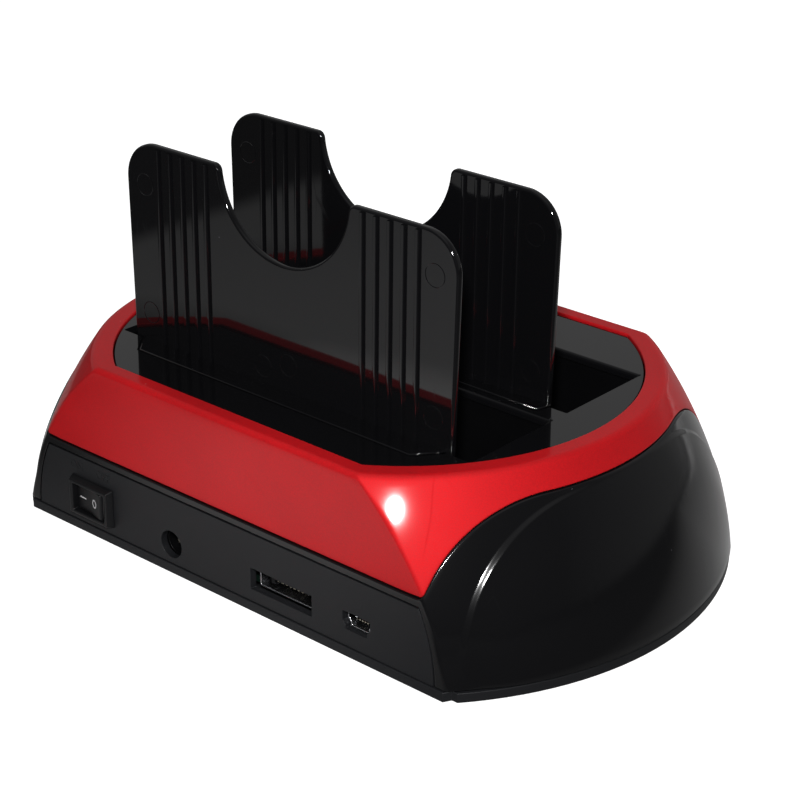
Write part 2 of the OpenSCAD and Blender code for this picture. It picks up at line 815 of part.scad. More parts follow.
// The small socket's shell, narrower at its foot
module mini_outline(grow) translate([mini_x, mini_z]) polygon([
  [-mini_w / 2 - grow, mini_h / 2 + grow],
  [mini_w / 2 + grow, mini_h / 2 + grow],
  [mini_w / 2 + grow, -grow / 2],
  [mini_w / 2 - mini_step + grow, -mini_h / 2 + mini_step - grow],
  [mini_w / 2 - mini_step + grow, -mini_h / 2 - grow],
  [mini_step - mini_w / 2 - grow, -mini_h / 2 - grow],
  [mini_step - mini_w / 2 - grow, -mini_h / 2 + mini_step - grow],
  [-mini_w / 2 - grow, -grow / 2]
]);

module rear_panel() color("#2a2b2e") lift() difference() {
  along_y(-half_depth, -half_depth + panel_t) panel_outline(0);
  translate([switch_x, -half_depth, switch_z])
    cube([switch_w + 2 * socket_gap, 4 * panel_t, switch_h + 2 * socket_gap], center = true);
  translate([inlet_x, 0, inlet_z]) bar_y(inlet_hole_d, -half_depth - 1, -half_depth + panel_t + 1);
  along_y(-half_depth - 1, -half_depth + panel_t + 1) wide_opening(0);
  along_y(-half_depth - 1, -half_depth + panel_t + 1) mini_outline(socket_gap);
}

module button_outline(grow) translate([button_x, control_z]) {
  square([button_w - button_h, button_h + 2 * grow], center = true);
  for (s = [-1, 1]) translate([s * (button_w - button_h) / 2, 0]) circle(r = button_h / 2 + grow);
}

module at_lights() for (s = [-1, 1]) translate([light_x + s * light_pitch / 2, 0, control_z]) children();

module front_panel() color("#2a2b2e") lift() difference() {
  along_y(half_depth - panel_t, half_depth) panel_outline(0);
  along_y(half_depth - panel_t - 1, half_depth + 1) button_outline(button_gap);
  at_lights() bar_y(light_d + 2 * light_play, half_depth - panel_t - 1, half_depth + 1);
}

// Section of the bezel, whose sides slope from its foot on the panel to its front face
module bezel_section(width) polygon([
  [-width / 2, 0],
  [width / 2, 0],
  [width / 2 - bezel_slope, -bezel_proud],
  [bezel_slope - width / 2, -bezel_proud]
]);

module bezel() translate([switch_x, -half_depth, switch_z]) intersection() {
  linear_extrude(height = bezel_h, center = true) bezel_section(bezel_w);
  rotate([0, 90, 0]) linear_extrude(height = bezel_w, center = true) bezel_section(bezel_h);
}

module switch_housing() color("#17181a") lift() difference() {
  union() {
    bezel();
    box(switch_x - switch_w / 2, switch_x + switch_w / 2, -half_depth - eps, switch_back,
      switch_z - switch_h / 2, switch_z + switch_h / 2);
  }
  translate([switch_x, pivot_y, switch_z]) {
    cylinder(d = pocket_w, h = pocket_h, center = true);
    translate([0, -far / 2, 0]) cube([pocket_w, far, pocket_h], center = true);
    cylinder(d = pivot_d + 2 * pivot_play, h = switch_h - 2 * pivot_end_gap, center = true);
  }
}

// At rest the left half of the rocker is pressed in
module switch_rocker() color("#1b1c1e") lift() translate([switch_x, pivot_y, switch_z]) {
  rotate([0, 0, -rocker_tilt]) linear_extrude(height = rocker_h, center = true) intersection() {
    circle(r = rocker_r, $fn = 96);
    polygon([
      [0, -rocker_rise],
      [rocker_r, -rocker_rise - rocker_r * tan(rocker_slope)],
      [rocker_r, rocker_r / 2],
      [-rocker_r, rocker_r / 2],
      [-rocker_r, -rocker_rise - rocker_r * tan(rocker_slope)]
    ]);
  }
  cylinder(d = pivot_d, h = switch_h - 4 * pivot_end_gap, center = true);
}

module switch_terminals() color("#b9a46a") lift() for (s = [-1, 1]) {
  x = switch_x + s * terminal_spread / 2;
  tail = switch_back + terminal_l;
  box(x - terminal_t / 2, x + terminal_t / 2, switch_back, tail,
    switch_z - terminal_w / 2, switch_z + terminal_w / 2);
  box(x - terminal_t / 2, x + terminal_t / 2, tail - 2 * terminal_t, tail,
    board_top, switch_z - terminal_w / 2 + eps);
}

module inlet_body() color("#111112") lift() translate([inlet_x, 0, inlet_z]) difference() {
  translate([0, socket_front + inlet_l / 2, 0]) cube([inlet_body, inlet_l, inlet_body], center = true);
  bar_y(inlet_bore_d, socket_front - 1, socket_front + inlet_bore_l);
  bar_y(inlet_pin_d + 2 * screw_play, socket_front, socket_front + inlet_l + inlet_tail);
}

module inlet_contacts() color("#c9c4b4") lift() translate([inlet_x, 0, inlet_z]) {
  back = socket_front + inlet_l;
  bar_y(inlet_pin_d, socket_front + inlet_bore_l - inlet_pin_l, back + eps);
  box(-inlet_pin_d / 2, inlet_pin_d / 2, back, back + inlet_tail, board_top - inlet_z, inlet_pin_d / 2);
}

module wide_socket_shell() color("#3a3b3e") lift() translate([data_x, 0, data_z]) difference() {
  x1 = data_shell_w / 2;
  z1 = data_shell_h / 2;
  box(-x1, x1, socket_front, socket_front + data_l, -z1, z1);
  box(data_shell_t - x1, x1 - data_shell_t, socket_front - 1, socket_front + data_l - data_back_t,
    data_shell_t - z1, z1 - data_shell_t);
}

module wide_socket_tongue() color("#1d1d1f") lift() translate([data_x, 0, data_z]) {
  y0 = socket_front + tongue_inset;
  y1 = socket_front + data_l - data_back_t;
  box(-data_tongue_w / 2, data_tongue_w / 2, y0, y1, 0, data_tongue_t);
  box(-data_tongue_w / 2, -data_tongue_w / 2 + data_tongue_t, y0, y1, -data_tongue_t, eps);
}

module small_socket_shell() color("#c8c9cc") lift() {
  y0 = -half_depth + mini_sink;
  difference() {
    along_y(y0, y0 + mini_l) mini_outline(0);
    along_y(y0 - 1, y0 + mini_l - mini_t) mini_outline(-mini_t);
  }
}

module small_socket_tongue() color("#161617") lift() translate([mini_x, -half_depth + mini_sink, mini_z])
  box(-mini_tongue_w / 2, mini_tongue_w / 2, tongue_inset, mini_l - mini_t, 0, mini_tongue_t);

module main_board() color("#1f5c38") lift() difference() {
  box(-board_half, board_half, -board_end, board_end, board_z, board_top);
  notch_gap = 0.5;
  back_gap = 0.2;
  box(switch_x - switch_w / 2 - notch_gap, switch_x + switch_w / 2 + notch_gap, -half_depth,
    switch_back + terminal_l - 2 * terminal_t - notch_gap, 0, far);
  box(inlet_x - inlet_body / 2 - notch_gap, inlet_x + inlet_body / 2 + notch_gap, -half_depth,
    socket_front + inlet_l + back_gap, 0, far);
  box(data_x - data_shell_w / 2 - notch_gap, data_x + data_shell_w / 2 + notch_gap, -half_depth,
    socket_front + data_l + back_gap, 0, far);
  at_corners(post_x, post_y) cylinder(d = board_screw_d + 2 * screw_play, h = far);
}

module board_screws() color("silver") lift() at_corners(post_x, post_y) translate([0, 0, board_top]) {
  cylinder(d = board_screw_head_d, h = board_screw_head_h);
  translate([0, 0, -board_screw_l]) cylinder(d = board_screw_d, h = board_screw_l + eps);
}

// A socket with a wide and a narrow slot, each with its key at one end
module drive_socket(bay_y) lift() difference() {
  y = bay_y + bay_depth - drive_socket_inset;
  slot_z = socket_top - socket_slot_depth;
  union() {
    translate([drive_socket_x, y, board_top]) linear_extrude(height = socket_top - board_top)
      square([drive_socket_w, drive_socket_d], center = true);
    translate([drive_socket_x, y, board_top]) linear_extrude(height = socket_flange_h)
      square([socket_flange_w, socket_flange_d], center = true);
  }
  for (slot = socket_slots) translate([drive_socket_x + slot[0], y - socket_slot_d / 2, slot_z]) {
    cube([slot[1], socket_slot_d, far]);
    translate([0, -socket_key, 0]) cube([socket_key, socket_slot_d, far]);
  }
}

module rear_drive_socket() color("#1a1a1c") drive_socket(rear_bay_y);

module front_drive_socket() color("#1a1a1c") drive_socket(front_bay_y);

module bridge_chips() color("#1c1d1f") lift() for (y = [rear_bay_y, front_bay_y]) {
  span = chip_w + 2 * chip_lead;
  row = chip_w - 2 * chip_lead;
  translate([drive_socket_x - drive_socket_w / 2 - chip_w - chip_gap, y + bay_depth / 2, board_top]) {
    translate([0, 0, chip_h / 2]) cube([chip_w, chip_w, chip_h], center = true);
    translate([0, 0, chip_lead_t / 2]) cube([span, row, chip_lead_t], center = true);
    translate([0, 0, chip_lead_t / 2]) cube([row, span, chip_lead_t], center = true);
  }
}

module capacitors() color("#2b3446") lift()
  at_corners(2 / 3 * capacitor_d, bay_end_y + bay_wall + capacitor_d)
    translate([0, 0, board_top]) cylinder(d = capacitor_d, h = capacitor_h);

module inductors() color("#3b3b3d") lift() for (i = [0, 1]) {
  x = button_x + coil_first + i * coil_pitch;
  translate([x, bay_end_y + bay_wall + coil_w, board_top + coil_h / 2])
    cube([coil_w, coil_w, coil_h], center = true);
}

module crystals() color("#c9cacd") lift() for (y = [rear_bay_y, front_bay_y]) {
  translate([drive_socket_x - drive_socket_w / 2 - can_gap, y + bay_depth / 2, board_top])
    linear_extrude(height = can_h) {
      square([can_l, can_d], center = true);
      for (s = [-1, 1]) translate([s * can_l / 2, 0]) circle(d = can_d);
    }
}

module light_pipes() color("#e8ecef") lift() at_lights() {
  flange_y = half_depth - panel_t - light_play;
  bar_y(light_d, half_depth - light_l, half_depth);
  bar_y(light_flange_d, flange_y - light_flange_t, flange_y);
}

module status_leds() color("#d8e4ee") lift() at_lights() {
  y1 = half_depth - light_l - led_gap;
  bar_y(light_d, y1 - led_l, y1);
  for (s = [-1, 1]) translate([s * led_leg_pitch / 2 - led_leg / 2, y1 - led_l, board_top - control_z])
    cube([led_leg, led_leg, control_rise]);
}

module backup_button() color("#1a1b1d") lift() {
  along_y(button_inner_y, half_depth + button_proud) button_outline(0);
  along_y(button_inner_y, button_inner_y + button_flange_t) button_outline(button_flange);
  translate([button_x, 0, control_z])
    bar_y(button_stem_d, button_inner_y - button_stem_l, button_inner_y + eps);
}

module button_switch() color("#2a2a2c") lift() translate([button_x, 0, control_z]) {
  box(-tact_w / 2, tact_w / 2, tact_y, tact_y + tact_d, board_top - control_z, tact_w / 2);
  bar_y(tact_plunger_d, tact_y + tact_d - eps, tact_y + tact_d + tact_plunger_l);
}

base_plate();
rubber_feet();
base_screws();
lower_housing();
top_shell();
top_deck();
rear_bay_well();
front_bay_well();
rear_drive_support();
front_drive_support();
rear_panel();
front_panel();
switch_housing();
switch_rocker();
switch_terminals();
inlet_body();
inlet_contacts();
wide_socket_shell();
wide_socket_tongue();
small_socket_shell();
small_socket_tongue();
main_board();
board_screws();
rear_drive_socket();
front_drive_socket();
bridge_chips();
capacitors();
inductors();
crystals();
status_leds();
light_pipes();
backup_button();
button_switch();
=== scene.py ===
import json
from math import asin, atan, atan2, cos, exp, hypot, log, pi, radians, sin, sqrt, tan
import bmesh
import bpy
from mathutils import Matrix, Vector


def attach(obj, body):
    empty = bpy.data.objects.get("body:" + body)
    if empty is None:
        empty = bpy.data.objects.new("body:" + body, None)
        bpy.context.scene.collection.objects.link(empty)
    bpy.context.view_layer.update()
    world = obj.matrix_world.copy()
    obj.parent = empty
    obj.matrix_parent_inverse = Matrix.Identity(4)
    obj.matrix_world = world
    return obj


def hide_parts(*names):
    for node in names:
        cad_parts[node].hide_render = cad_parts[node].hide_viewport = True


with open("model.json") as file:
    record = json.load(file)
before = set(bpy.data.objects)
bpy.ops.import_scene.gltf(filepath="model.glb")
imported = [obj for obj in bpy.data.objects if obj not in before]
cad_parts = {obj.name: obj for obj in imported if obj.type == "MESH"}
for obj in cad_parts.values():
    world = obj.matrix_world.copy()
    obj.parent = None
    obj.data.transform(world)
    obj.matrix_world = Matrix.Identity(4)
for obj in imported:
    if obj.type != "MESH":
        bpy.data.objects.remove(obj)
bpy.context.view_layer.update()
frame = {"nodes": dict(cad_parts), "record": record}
nodes = frame["nodes"]
mm = 0.001
lift = 0.8  # the feet stand this far below the base, in mm
scene = bpy.context.scene
scene.view_settings.view_transform = "Standard"
print("frame:", len(nodes), "nodes")

# camera
photoView = {"place": (304.67, -344.12, 241.76), "azimuth": 40.959, "elevation": 24.608, "roll": 0.606,
             "focalPixels": 2043.71, "imageSize": (790, 811), "sensor": 36.0}


def viewAxes(view):
    az, el, roll = (radians(view[k]) for k in ("azimuth", "elevation", "roll"))
    back = Vector((sin(az) * cos(el), -cos(az) * cos(el), sin(el)))
    right = Vector((cos(az), sin(az), 0))
    up = back.cross(right)
    return right * cos(roll) + up * sin(roll), up * cos(roll) - right * sin(roll), back


viewRight, viewUp, viewBack = viewAxes(photoView)
cameraPlace = Vector(photoView["place"]) * mm
lens = bpy.data.cameras.new("photoView")
lens.sensor_width = photoView["sensor"]
lens.lens = photoView["focalPixels"] * photoView["sensor"] / max(photoView["imageSize"])
lens.clip_start, lens.clip_end = 0.02, 50
camera = bpy.data.objects.new("photoView", lens)
camera.matrix_world = Matrix.Translation(cameraPlace) @ Matrix((viewRight, viewUp, viewBack)).transposed().to_4x4()
scene.collection.objects.link(camera)
scene.camera = camera
print("camera: lens", round(lens.lens, 2), "mm")


# shader groups that several finishes share
def shaderGroup(name, inputs, outputs):
    tree = bpy.data.node_groups.new(name, "ShaderNodeTree")
    for label, kind, value in inputs:
        socket = tree.interface.new_socket(label, in_out="INPUT", socket_type=kind)
        if value is not None:
            socket.default_value = value
    for label in outputs:
        tree.interface.new_socket(label, in_out="OUTPUT", socket_type="NodeSocketFloat")
    return tree, tree.nodes.new("NodeGroupInput").outputs, tree.nodes.new("NodeGroupOutput").inputs


def addNode(tree, kind, links=None, **settings):
    node = tree.nodes.new(kind)
    for key, value in settings.items():
        setattr(node, key, value)
    for key, value in (links or {}).items():
        socket = node.inputs[key]
        if isinstance(value, bpy.types.NodeSocket):
            tree.links.new(value, socket)
        else:
            socket.default_value = value
    return node


def remap(tree, value, low, high, start=0.0, end=1.0):
    return addNode(tree, "ShaderNodeMapRange", {"Value": value, "From Min": start, "From Max": end,
                                                "To Min": low, "To Max": high}).outputs["Result"]


def math(tree, operation, a, b=0.0):
    return addNode(tree, "ShaderNodeMath", {0: a, 1: b}, operation=operation).outputs[0]


def mixColour(tree, factor, a, b):
    return addNode(tree, "ShaderNodeMix", {0: factor, 6: a, 7: b}, data_type="RGBA").outputs[2]


def vector(tree, operation, a, b=(0.0, 0.0, 0.0)):
    node = addNode(tree, "ShaderNodeVectorMath", {0: a, 1: b}, operation=operation)
    return node.outputs["Value" if operation in ("DOT_PRODUCT", "LENGTH") else "Vector"]


def noise(tree, where, scale, detail):
    return addNode(tree, "ShaderNodeTexNoise", {"Vector": where, "Scale": scale, "Detail": detail}).outputs


def cells(tree, where, scale, **settings):
    return addNode(tree, "ShaderNodeTexVoronoi", {"Vector": where, "Scale": scale}, **settings).outputs


def mouldGrainGroup():
    tree, given, leave = shaderGroup("mouldGrain", [("Vector", "NodeSocketVector", None), ("Scale", "NodeSocketFloat", 2500.0)],
                                     ["Height", "Tone"])
    where, scale = given["Vector"], given["Scale"]
    pits, fine, broad = cells(tree, where, scale), noise(tree, where, scale, 2.0), noise(tree, where, 70.0, 3.0)
    height = math(tree, "ADD", math(tree, "MULTIPLY", pits["Distance"], 0.5), fine["Fac"])
    tree.links.new(height, leave["Height"])
    tone = math(tree, "ADD", math(tree, "MULTIPLY", fine["Fac"], 0.5), math(tree, "MULTIPLY", broad["Fac"], 0.5))
    tree.links.new(tone, leave["Tone"])
    return tree


def handlingGroup():
    tree, given, leave = shaderGroup("handlingMarks", [("Vector", "NodeSocketVector", None), ("Line Scale", "NodeSocketFloat", 90.0),
                                                       ("Speck Scale", "NodeSocketFloat", 160.0)], ["Lines", "Specks"])
    where = given["Vector"]
    bent = vector(tree, "MULTIPLY", noise(tree, where, 35.0, 1.0)["Color"], (0.006, 0.006, 0.006))
    slim = vector(tree, "MULTIPLY", vector(tree, "ADD", where, bent), (1.0, 1.0, 0.12))
    cracks = cells(tree, slim, given["Line Scale"], feature="DISTANCE_TO_EDGE")
    thin = remap(tree, cracks["Distance"], 1.0, 0.0, 0.0, 0.012)
    lines = math(tree, "MULTIPLY", thin, remap(tree, noise(tree, where, 55.0, 2.0)["Fac"], 0.0, 1.0, 0.52, 0.66))
    tree.links.new(lines, leave["Lines"])
    dust = cells(tree, where, given["Speck Scale"])
    size = addNode(tree, "ShaderNodeSeparateColor", {0: dust["Color"]})
    near = remap(tree, dust["Distance"], 1.0, 0.0, 0.012, 0.028)
    specks = math(tree, "MULTIPLY", near, remap(tree, size.outputs[0], 0.0, 1.0, 0.72, 0.78))
    tree.links.new(specks, leave["Specks"])
    return tree


def pearlGroup():
    tree, given, leave = shaderGroup("pearlFlake", [("Vector", "NodeSocketVector", None), ("Flake Scale", "NodeSocketFloat", 5200.0)],
                                     ["Flake", "Cloud"])
    flakes = cells(tree, given["Vector"], given["Flake Scale"])
    shade = addNode(tree, "ShaderNodeSeparateColor", {0: flakes["Color"]})
    tree.links.new(shade.outputs[0], leave["Flake"])
    tree.links.new(noise(tree, given["Vector"], 45.0, 2.0)["Fac"], leave["Cloud"])
    return tree


grainGroup, marksGroup, flakeGroup = mouldGrainGroup(), handlingGroup(), pearlGroup()


def startFinish(name, **fixed):
    material = bpy.data.materials.new(name)
    material.use_nodes = True
    tree = material.node_tree
    shader = tree.nodes["Principled BSDF"]
    for key, value in fixed.items():
        shader.inputs[key].default_value = value
    where = addNode(tree, "ShaderNodeTexCoord").outputs["Object"]
    return material, tree, shader, where


def placeGroup(tree, group, where, **values):
    node = addNode(tree, "ShaderNodeGroup", node_tree=group)
    tree.links.new(where, node.inputs["Vector"])
    for key, value in values.items():
        node.inputs[key].default_value = value
    return node


def bumpInto(tree, shader, height, strength, distance):
    bump = addNode(tree, "ShaderNodeBump", {"Height": height, "Strength": strength, "Distance": distance})
    tree.links.new(bump.outputs["Normal"], shader.inputs["Normal"])


def redFinish():
    values = {"deep": (0.54, 0.002, 0.006, 1), "bright": (0.82, 0.004, 0.010, 1), "dust": (0.7, 0.5, 0.5, 1),
              "flakeScale": 5200.0, "rough": (0.66, 0.76)}
    coat = {"Coat Weight": 0.36, "Coat Roughness": 0.11, "Coat IOR": 1.5}
    material, tree, shader, where = startFinish("redPearl", Metallic=0.5, **coat)
    flake = placeGroup(tree, flakeGroup, where, **{"Flake Scale": values["flakeScale"]}).outputs
    marks = placeGroup(tree, marksGroup, where, **{"Line Scale": 70.0, "Speck Scale": 120.0}).outputs
    blend = math(tree, "ADD", math(tree, "MULTIPLY", flake["Flake"], 0.45), math(tree, "MULTIPLY", flake["Cloud"], 0.55))
    colour = mixColour(tree, blend, values["deep"], values["bright"])
    dusty = mixColour(tree, math(tree, "MULTIPLY", marks["Specks"], 0.5), colour, values["dust"])
    tree.links.new(dusty, shader.inputs["Base Color"])
    rough = math(tree, "ADD", remap(tree, flake["Flake"], *values["rough"]), math(tree, "MULTIPLY", marks["Lines"], 0.08))
    tree.links.new(rough, shader.inputs["Roughness"])
    bumpInto(tree, shader, flake["Flake"], 0.06, 0.00003)
    return material


def blackFinish(name, gloss, scratched):
    values = {"black": (0.0042, 0.0042, 0.0048, 1), "dust": (0.09, 0.09, 0.1, 1)}
    material, tree, shader, where = startFinish(name, IOR=1.5)
    marks = placeGroup(tree, marksGroup, where, **{"Line Scale": 85.0, "Speck Scale": 150.0}).outputs
    tree.links.new(mixColour(tree, marks["Specks"], values["black"], values["dust"]), shader.inputs["Base Color"])
    rough = math(tree, "ADD", remap(tree, marks["Lines"], gloss, scratched), math(tree, "MULTIPLY", marks["Specks"], 0.4))
    tree.links.new(rough, shader.inputs["Roughness"])
    bumpInto(tree, shader, noise(tree, where, 42.0, 1.0)["Fac"], 0.05, 0.0006)
    return material


def satinFinish(name, dark, light, scale, roughLow, roughHigh, strength, distance=0.00004, **fixed):
    material, tree, shader, where = startFinish(name, **fixed)
    grain = placeGroup(tree, grainGroup, where, Scale=scale)
    tree.links.new(mixColour(tree, grain.outputs["Tone"], dark, light), shader.inputs["Base Color"])
    tree.links.new(remap(tree, grain.outputs["Tone"], roughLow, roughHigh, 0.3, 0.7), shader.inputs["Roughness"])
    bumpInto(tree, shader, grain.outputs["Height"], strength, distance)
    return material


def metalFinish(name, dark, light, stretch, roughLow, roughHigh):
    material, tree, shader, where = startFinish(name, Metallic=1.0)
    grain = placeGroup(tree, grainGroup, vector(tree, "MULTIPLY", where, stretch), Scale=1800.0)
    tree.links.new(mixColour(tree, grain.outputs["Tone"], dark, light), shader.inputs["Base Color"])
    tree.links.new(remap(tree, grain.outputs["Tone"], roughLow, roughHigh, 0.3, 0.7), shader.inputs["Roughness"])
    bumpInto(tree, shader, grain.outputs["Height"], 0.08, 0.00002)
    return material


def boardFinish():
    # the board's own green mask and tracks, darkened nearly to black: painted shade for the dark inside the housing
    values = {"maskShaded": (0.0016, 0.0048, 0.0036, 1), "trackShaded": (0.003, 0.011, 0.007, 1), "pitch": 900.0}
    material, tree, shader, where = startFinish("boardGreenShaded")
    lanes = addNode(tree, "ShaderNodeTexBrick", {"Vector": where, "Scale": values["pitch"], "Color1": values["maskShaded"],
                                                 "Color2": values["maskShaded"], "Mortar": values["trackShaded"], "Mortar Size": 0.12})
    grain = placeGroup(tree, grainGroup, where, Scale=900.0)
    tree.links.new(lanes.outputs["Color"], shader.inputs["Base Color"])
    tree.links.new(remap(tree, grain.outputs["Tone"], 0.3, 0.45), shader.inputs["Roughness"])
    bumpInto(tree, shader, lanes.outputs["Fac"], 0.2, 0.00003)
    return material


def clearFinish():
    material, tree, shader, where = startFinish("lightClear", **{"Transmission Weight": 1.0, "IOR": 1.49})
    grain = placeGroup(tree, grainGroup, where, Scale=1500.0)
    colour = mixColour(tree, grain.outputs["Tone"], (0.80, 0.86, 0.92, 1), (0.92, 0.95, 0.98, 1))
    tree.links.new(colour, shader.inputs["Base Color"])
    tree.links.new(remap(tree, grain.outputs["Tone"], 0.12, 0.24), shader.inputs["Roughness"])
    bumpInto(tree, shader, grain.outputs["Height"], 0.05, 0.00002)
    return material


finishes = {
    "red_gloss": redFinish(),
    "piano_black": blackFinish("pianoBlack", 0.055, 0.16),
    "charcoal": satinFinish("charcoalSatin", (0.0080, 0.0084, 0.0098, 1), (0.0118, 0.0122, 0.0138, 1), 3400.0, 0.44, 0.56, 0.16,
                            **{"Specular IOR Level": 0.32}),
    "socket_black": satinFinish("socketBlack", (0.0042, 0.0044, 0.0050, 1), (0.0070, 0.0072, 0.0080, 1), 3000.0, 0.30, 0.42, 0.10,
                                **{"Specular IOR Level": 0.3}),
    "foot_rubber": satinFinish("footRubber", (0.012, 0.012, 0.012, 1), (0.024, 0.024, 0.025, 1), 1500.0, 0.72, 0.88, 0.35, 0.00008),
    "screw_steel": metalFinish("screwSteel", (0.45, 0.46, 0.48, 1), (0.62, 0.63, 0.65, 1), (1.0, 1.0, 0.2), 0.26, 0.40),
    "bright_shell": metalFinish("nickelShell", (0.62, 0.63, 0.66, 1), (0.78, 0.79, 0.82, 1), (1.0, 0.15, 1.0), 0.16, 0.28),
    "contact_metal": metalFinish("platedContact", (0.62, 0.56, 0.44, 1), (0.82, 0.76, 0.64, 1), (1.0, 0.2, 1.0), 0.18, 0.30),
    "board_green": boardFinish(),
    "chip_black": satinFinish("chipBlack", (0.013, 0.013, 0.014, 1), (0.024, 0.024, 0.026, 1), 2600.0, 0.50, 0.64, 0.25),
    "capacitor_sleeve": satinFinish("capacitorSleeve", (0.030, 0.042, 0.085, 1), (0.050, 0.070, 0.130, 1), 1100.0, 0.30, 0.42, 0.06),
    "can_metal": metalFinish("crystalCan", (0.60, 0.61, 0.63, 1), (0.76, 0.77, 0.78, 1), (0.2, 1.0, 1.0), 0.22, 0.36),
    "light_clear": clearFinish(),
}
housingBlack = blackFinish("housingBlack", 0.14, 0.22)
# painted shade: a darker, duller black for the bays and the inlet body, standing in for the shade inside them
shadedWellBlack = satinFinish("shadedWellBlack", (0.0016, 0.0016, 0.0019, 1), (0.0028, 0.0028, 0.0032, 1), 3000.0, 0.36, 0.48, 0.10,
                        **{"Specular IOR Level": 0.18})
whitePrint = satinFinish("switchPrint", (0.52, 0.52, 0.53, 1), (0.66, 0.66, 0.67, 1), 2400.0, 0.45, 0.6, 0.08)
for entry in frame["record"]["subparts"]:
    nodes[entry["node"]].data.materials.clear()
    nodes[entry["node"]].data.materials.append(finishes[entry["material_slot"]])
for well in ("rear_bay_well", "front_bay_well"):  # painted shade: the bays take a darker, duller black, for the shade deep inside them
    nodes[well].data.materials[0] = shadedWellBlack
print("finishes:", len(finishes) + 3)


# mesh helpers: points are in mm from the underside of the base
def place(x, y, z):
    return (x * mm, y * mm, (z + lift) * mm)


def reworked(mesh, merge=0.0, outward=False, rounded=True):
    shell = bmesh.new()
    shell.from_mesh(mesh)
    if merge:
        bmesh.ops.remove_doubles(shell, verts=shell.verts, dist=merge)
    if outward:
        bmesh.ops.recalc_face_normals(shell, faces=shell.faces)
    for face in shell.faces:
        face.smooth = face.smooth or rounded
    shell.to_mesh(mesh)
    shell.free()
    return mesh


def meshOf(name, points, faces, outward=False):
    mesh = bpy.data.meshes.new(name)
    mesh.from_pydata([place(*point) for point in points], [], faces)
    return reworked(mesh, outward=outward)


def addPiece(name, mesh, body, slot, *replaced, material=None):
    mesh.name = name
    mesh.materials.clear()
    mesh.materials.append(material or finishes[slot])
    piece = bpy.data.objects.new(name, mesh)
    scene.collection.objects.link(piece)
    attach(piece, body)
    if replaced:
        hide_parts(*replaced)
    return piece


def finishMesh(mesh, *modifiers):
    holder = bpy.data.objects.new("holder", mesh)
    scene.collection.objects.link(holder)
    for kind, settings in modifiers:
        modifier = holder.modifiers.new(kind, kind)
        for key, value in settings.items():
            setattr(modifier, key, value)
    depsgraph = bpy.context.evaluated_depsgraph_get()
    made = bpy.data.meshes.new_from_object(holder.evaluated_get(depsgraph), preserve_all_data_layers=True, depsgraph=depsgraph)
    bpy.data.objects.remove(holder)
    return made


def bevelled(width, segments=2, limit=35, sharpest=True):
    steps = [("BEVEL", {"width": width * mm, "segments": segments, "limit_method": "ANGLE", "angle_limit": radians(limit),
                        "use_clamp_overlap": False, "miter_outer": "MITER_ARC"})]
    return steps + ([("WEIGHTED_NORMAL", {"keep_sharp": False, "weight": 80})] if sharpest else [])


def cadCopy(node, width, segments=2, limit=35):
    shell = bmesh.new()
    shell.from_mesh(nodes[node].data)
    bmesh.ops.remove_doubles(shell, verts=shell.verts, dist=3e-6)
    bmesh.ops.dissolve_limit(shell, angle_limit=radians(0.5), verts=shell.verts, edges=shell.edges)
    for face in shell.faces:
        face.smooth = True
    mesh = bpy.data.meshes.new(node + "Copy")
    shell.to_mesh(mesh)
    shell.free()
    return finishMesh(mesh, *bevelled(width, segments, limit))


def smooth(t):
    t = min(1.0, max(0.0, t))
    return t * t * (3 - 2 * t)


def mix(a, b, t):
    return a + (b - a) * t


# the body's form, as the red shell and the black housing share it
bodyForm = {"halfDepth": 54.6, "shellStep": 0.4, "axisX": 7.4, "height": 45.5, "wall": 2.2, "turnZ": 21.0, "flankR": 53.1, "flankZ": 1.2,
            "crownR": 124.0, "rimR": 64.005, "partEnd": 22.0, "partTop": 39.7, "partR": 34.7, "partGap": 0.3, "tipSoft": 0.9,
            "tipSlope": 1.33, "deckR": 58.805, "deckHalf": 49.2, "deckZ": 44.9, "rimSideRound": 2.4, "rimEndRound": 1.4}
halfDepth, axisX, bodyHigh = (bodyForm[k] for k in ("halfDepth", "axisX", "height"))
flankAngle = asin((bodyForm["turnZ"] - bodyForm["flankZ"]) / bodyForm["flankR"])
crownZ = bodyForm["flankZ"] - (bodyForm["crownR"] - bodyForm["flankR"]) * sin(flankAngle)
crownC = bodyForm["rimR"] - sqrt(bodyForm["crownR"] ** 2 - (bodyHigh - crownZ) ** 2)
flankC = crownC + (bodyForm["crownR"] - bodyForm["flankR"]) * cos(flankAngle)
shoulderZ = bodyForm["partTop"] - bodyForm["partR"]
shoulderY = halfDepth - sqrt(bodyForm["partR"] ** 2 - (bodyForm["partEnd"] - shoulderZ) ** 2)


def flankRadius(z, inset=0.0):
    r, rise = bodyForm["flankR"] - inset, z - bodyForm["flankZ"]
    if rise <= r * sin(flankAngle):
        return flankC + sqrt(r * r - rise * rise)
    return crownC + sqrt((bodyForm["crownR"] - inset) ** 2 - (z - crownZ) ** 2)


def cornerX(z):
    return axisX + sqrt(flankRadius(z) ** 2 - halfDepth ** 2)


def cornerTurn(radius, depth, rounding):
    x = axisX + sqrt((radius - rounding) ** 2 - (depth - rounding) ** 2)
    return x, atan2(depth - rounding, x - axisX)


# a column is (kind, t, end, side): end 1 is the rear, side 1 is the right
def bodyColumns(endSteps, stripSteps, turnSteps, flankSteps):
    quarter = [("end", i / endSteps) for i in range(endSteps)]
    quarter += [("strip", i / stripSteps) for i in range(stripSteps)]
    quarter += [("turn", i / turnSteps) for i in range(turnSteps)]
    flank = []
    for i in range(flankSteps + 1):
        u = i / flankSteps
        flank.append(("flank", (2 * u - 1) * 0.5 - cos(pi * u) * 0.5))
    right = [(k, t, 1, 1) for k, t in quarter] + [(k, t, 1, 1) for k, t in flank]
    right += [(k, t, -1, 1) for k, t in reversed(quarter)]
    return right + [(k, t, e, -1) for k, t, e, s in reversed(right[1:-1])]


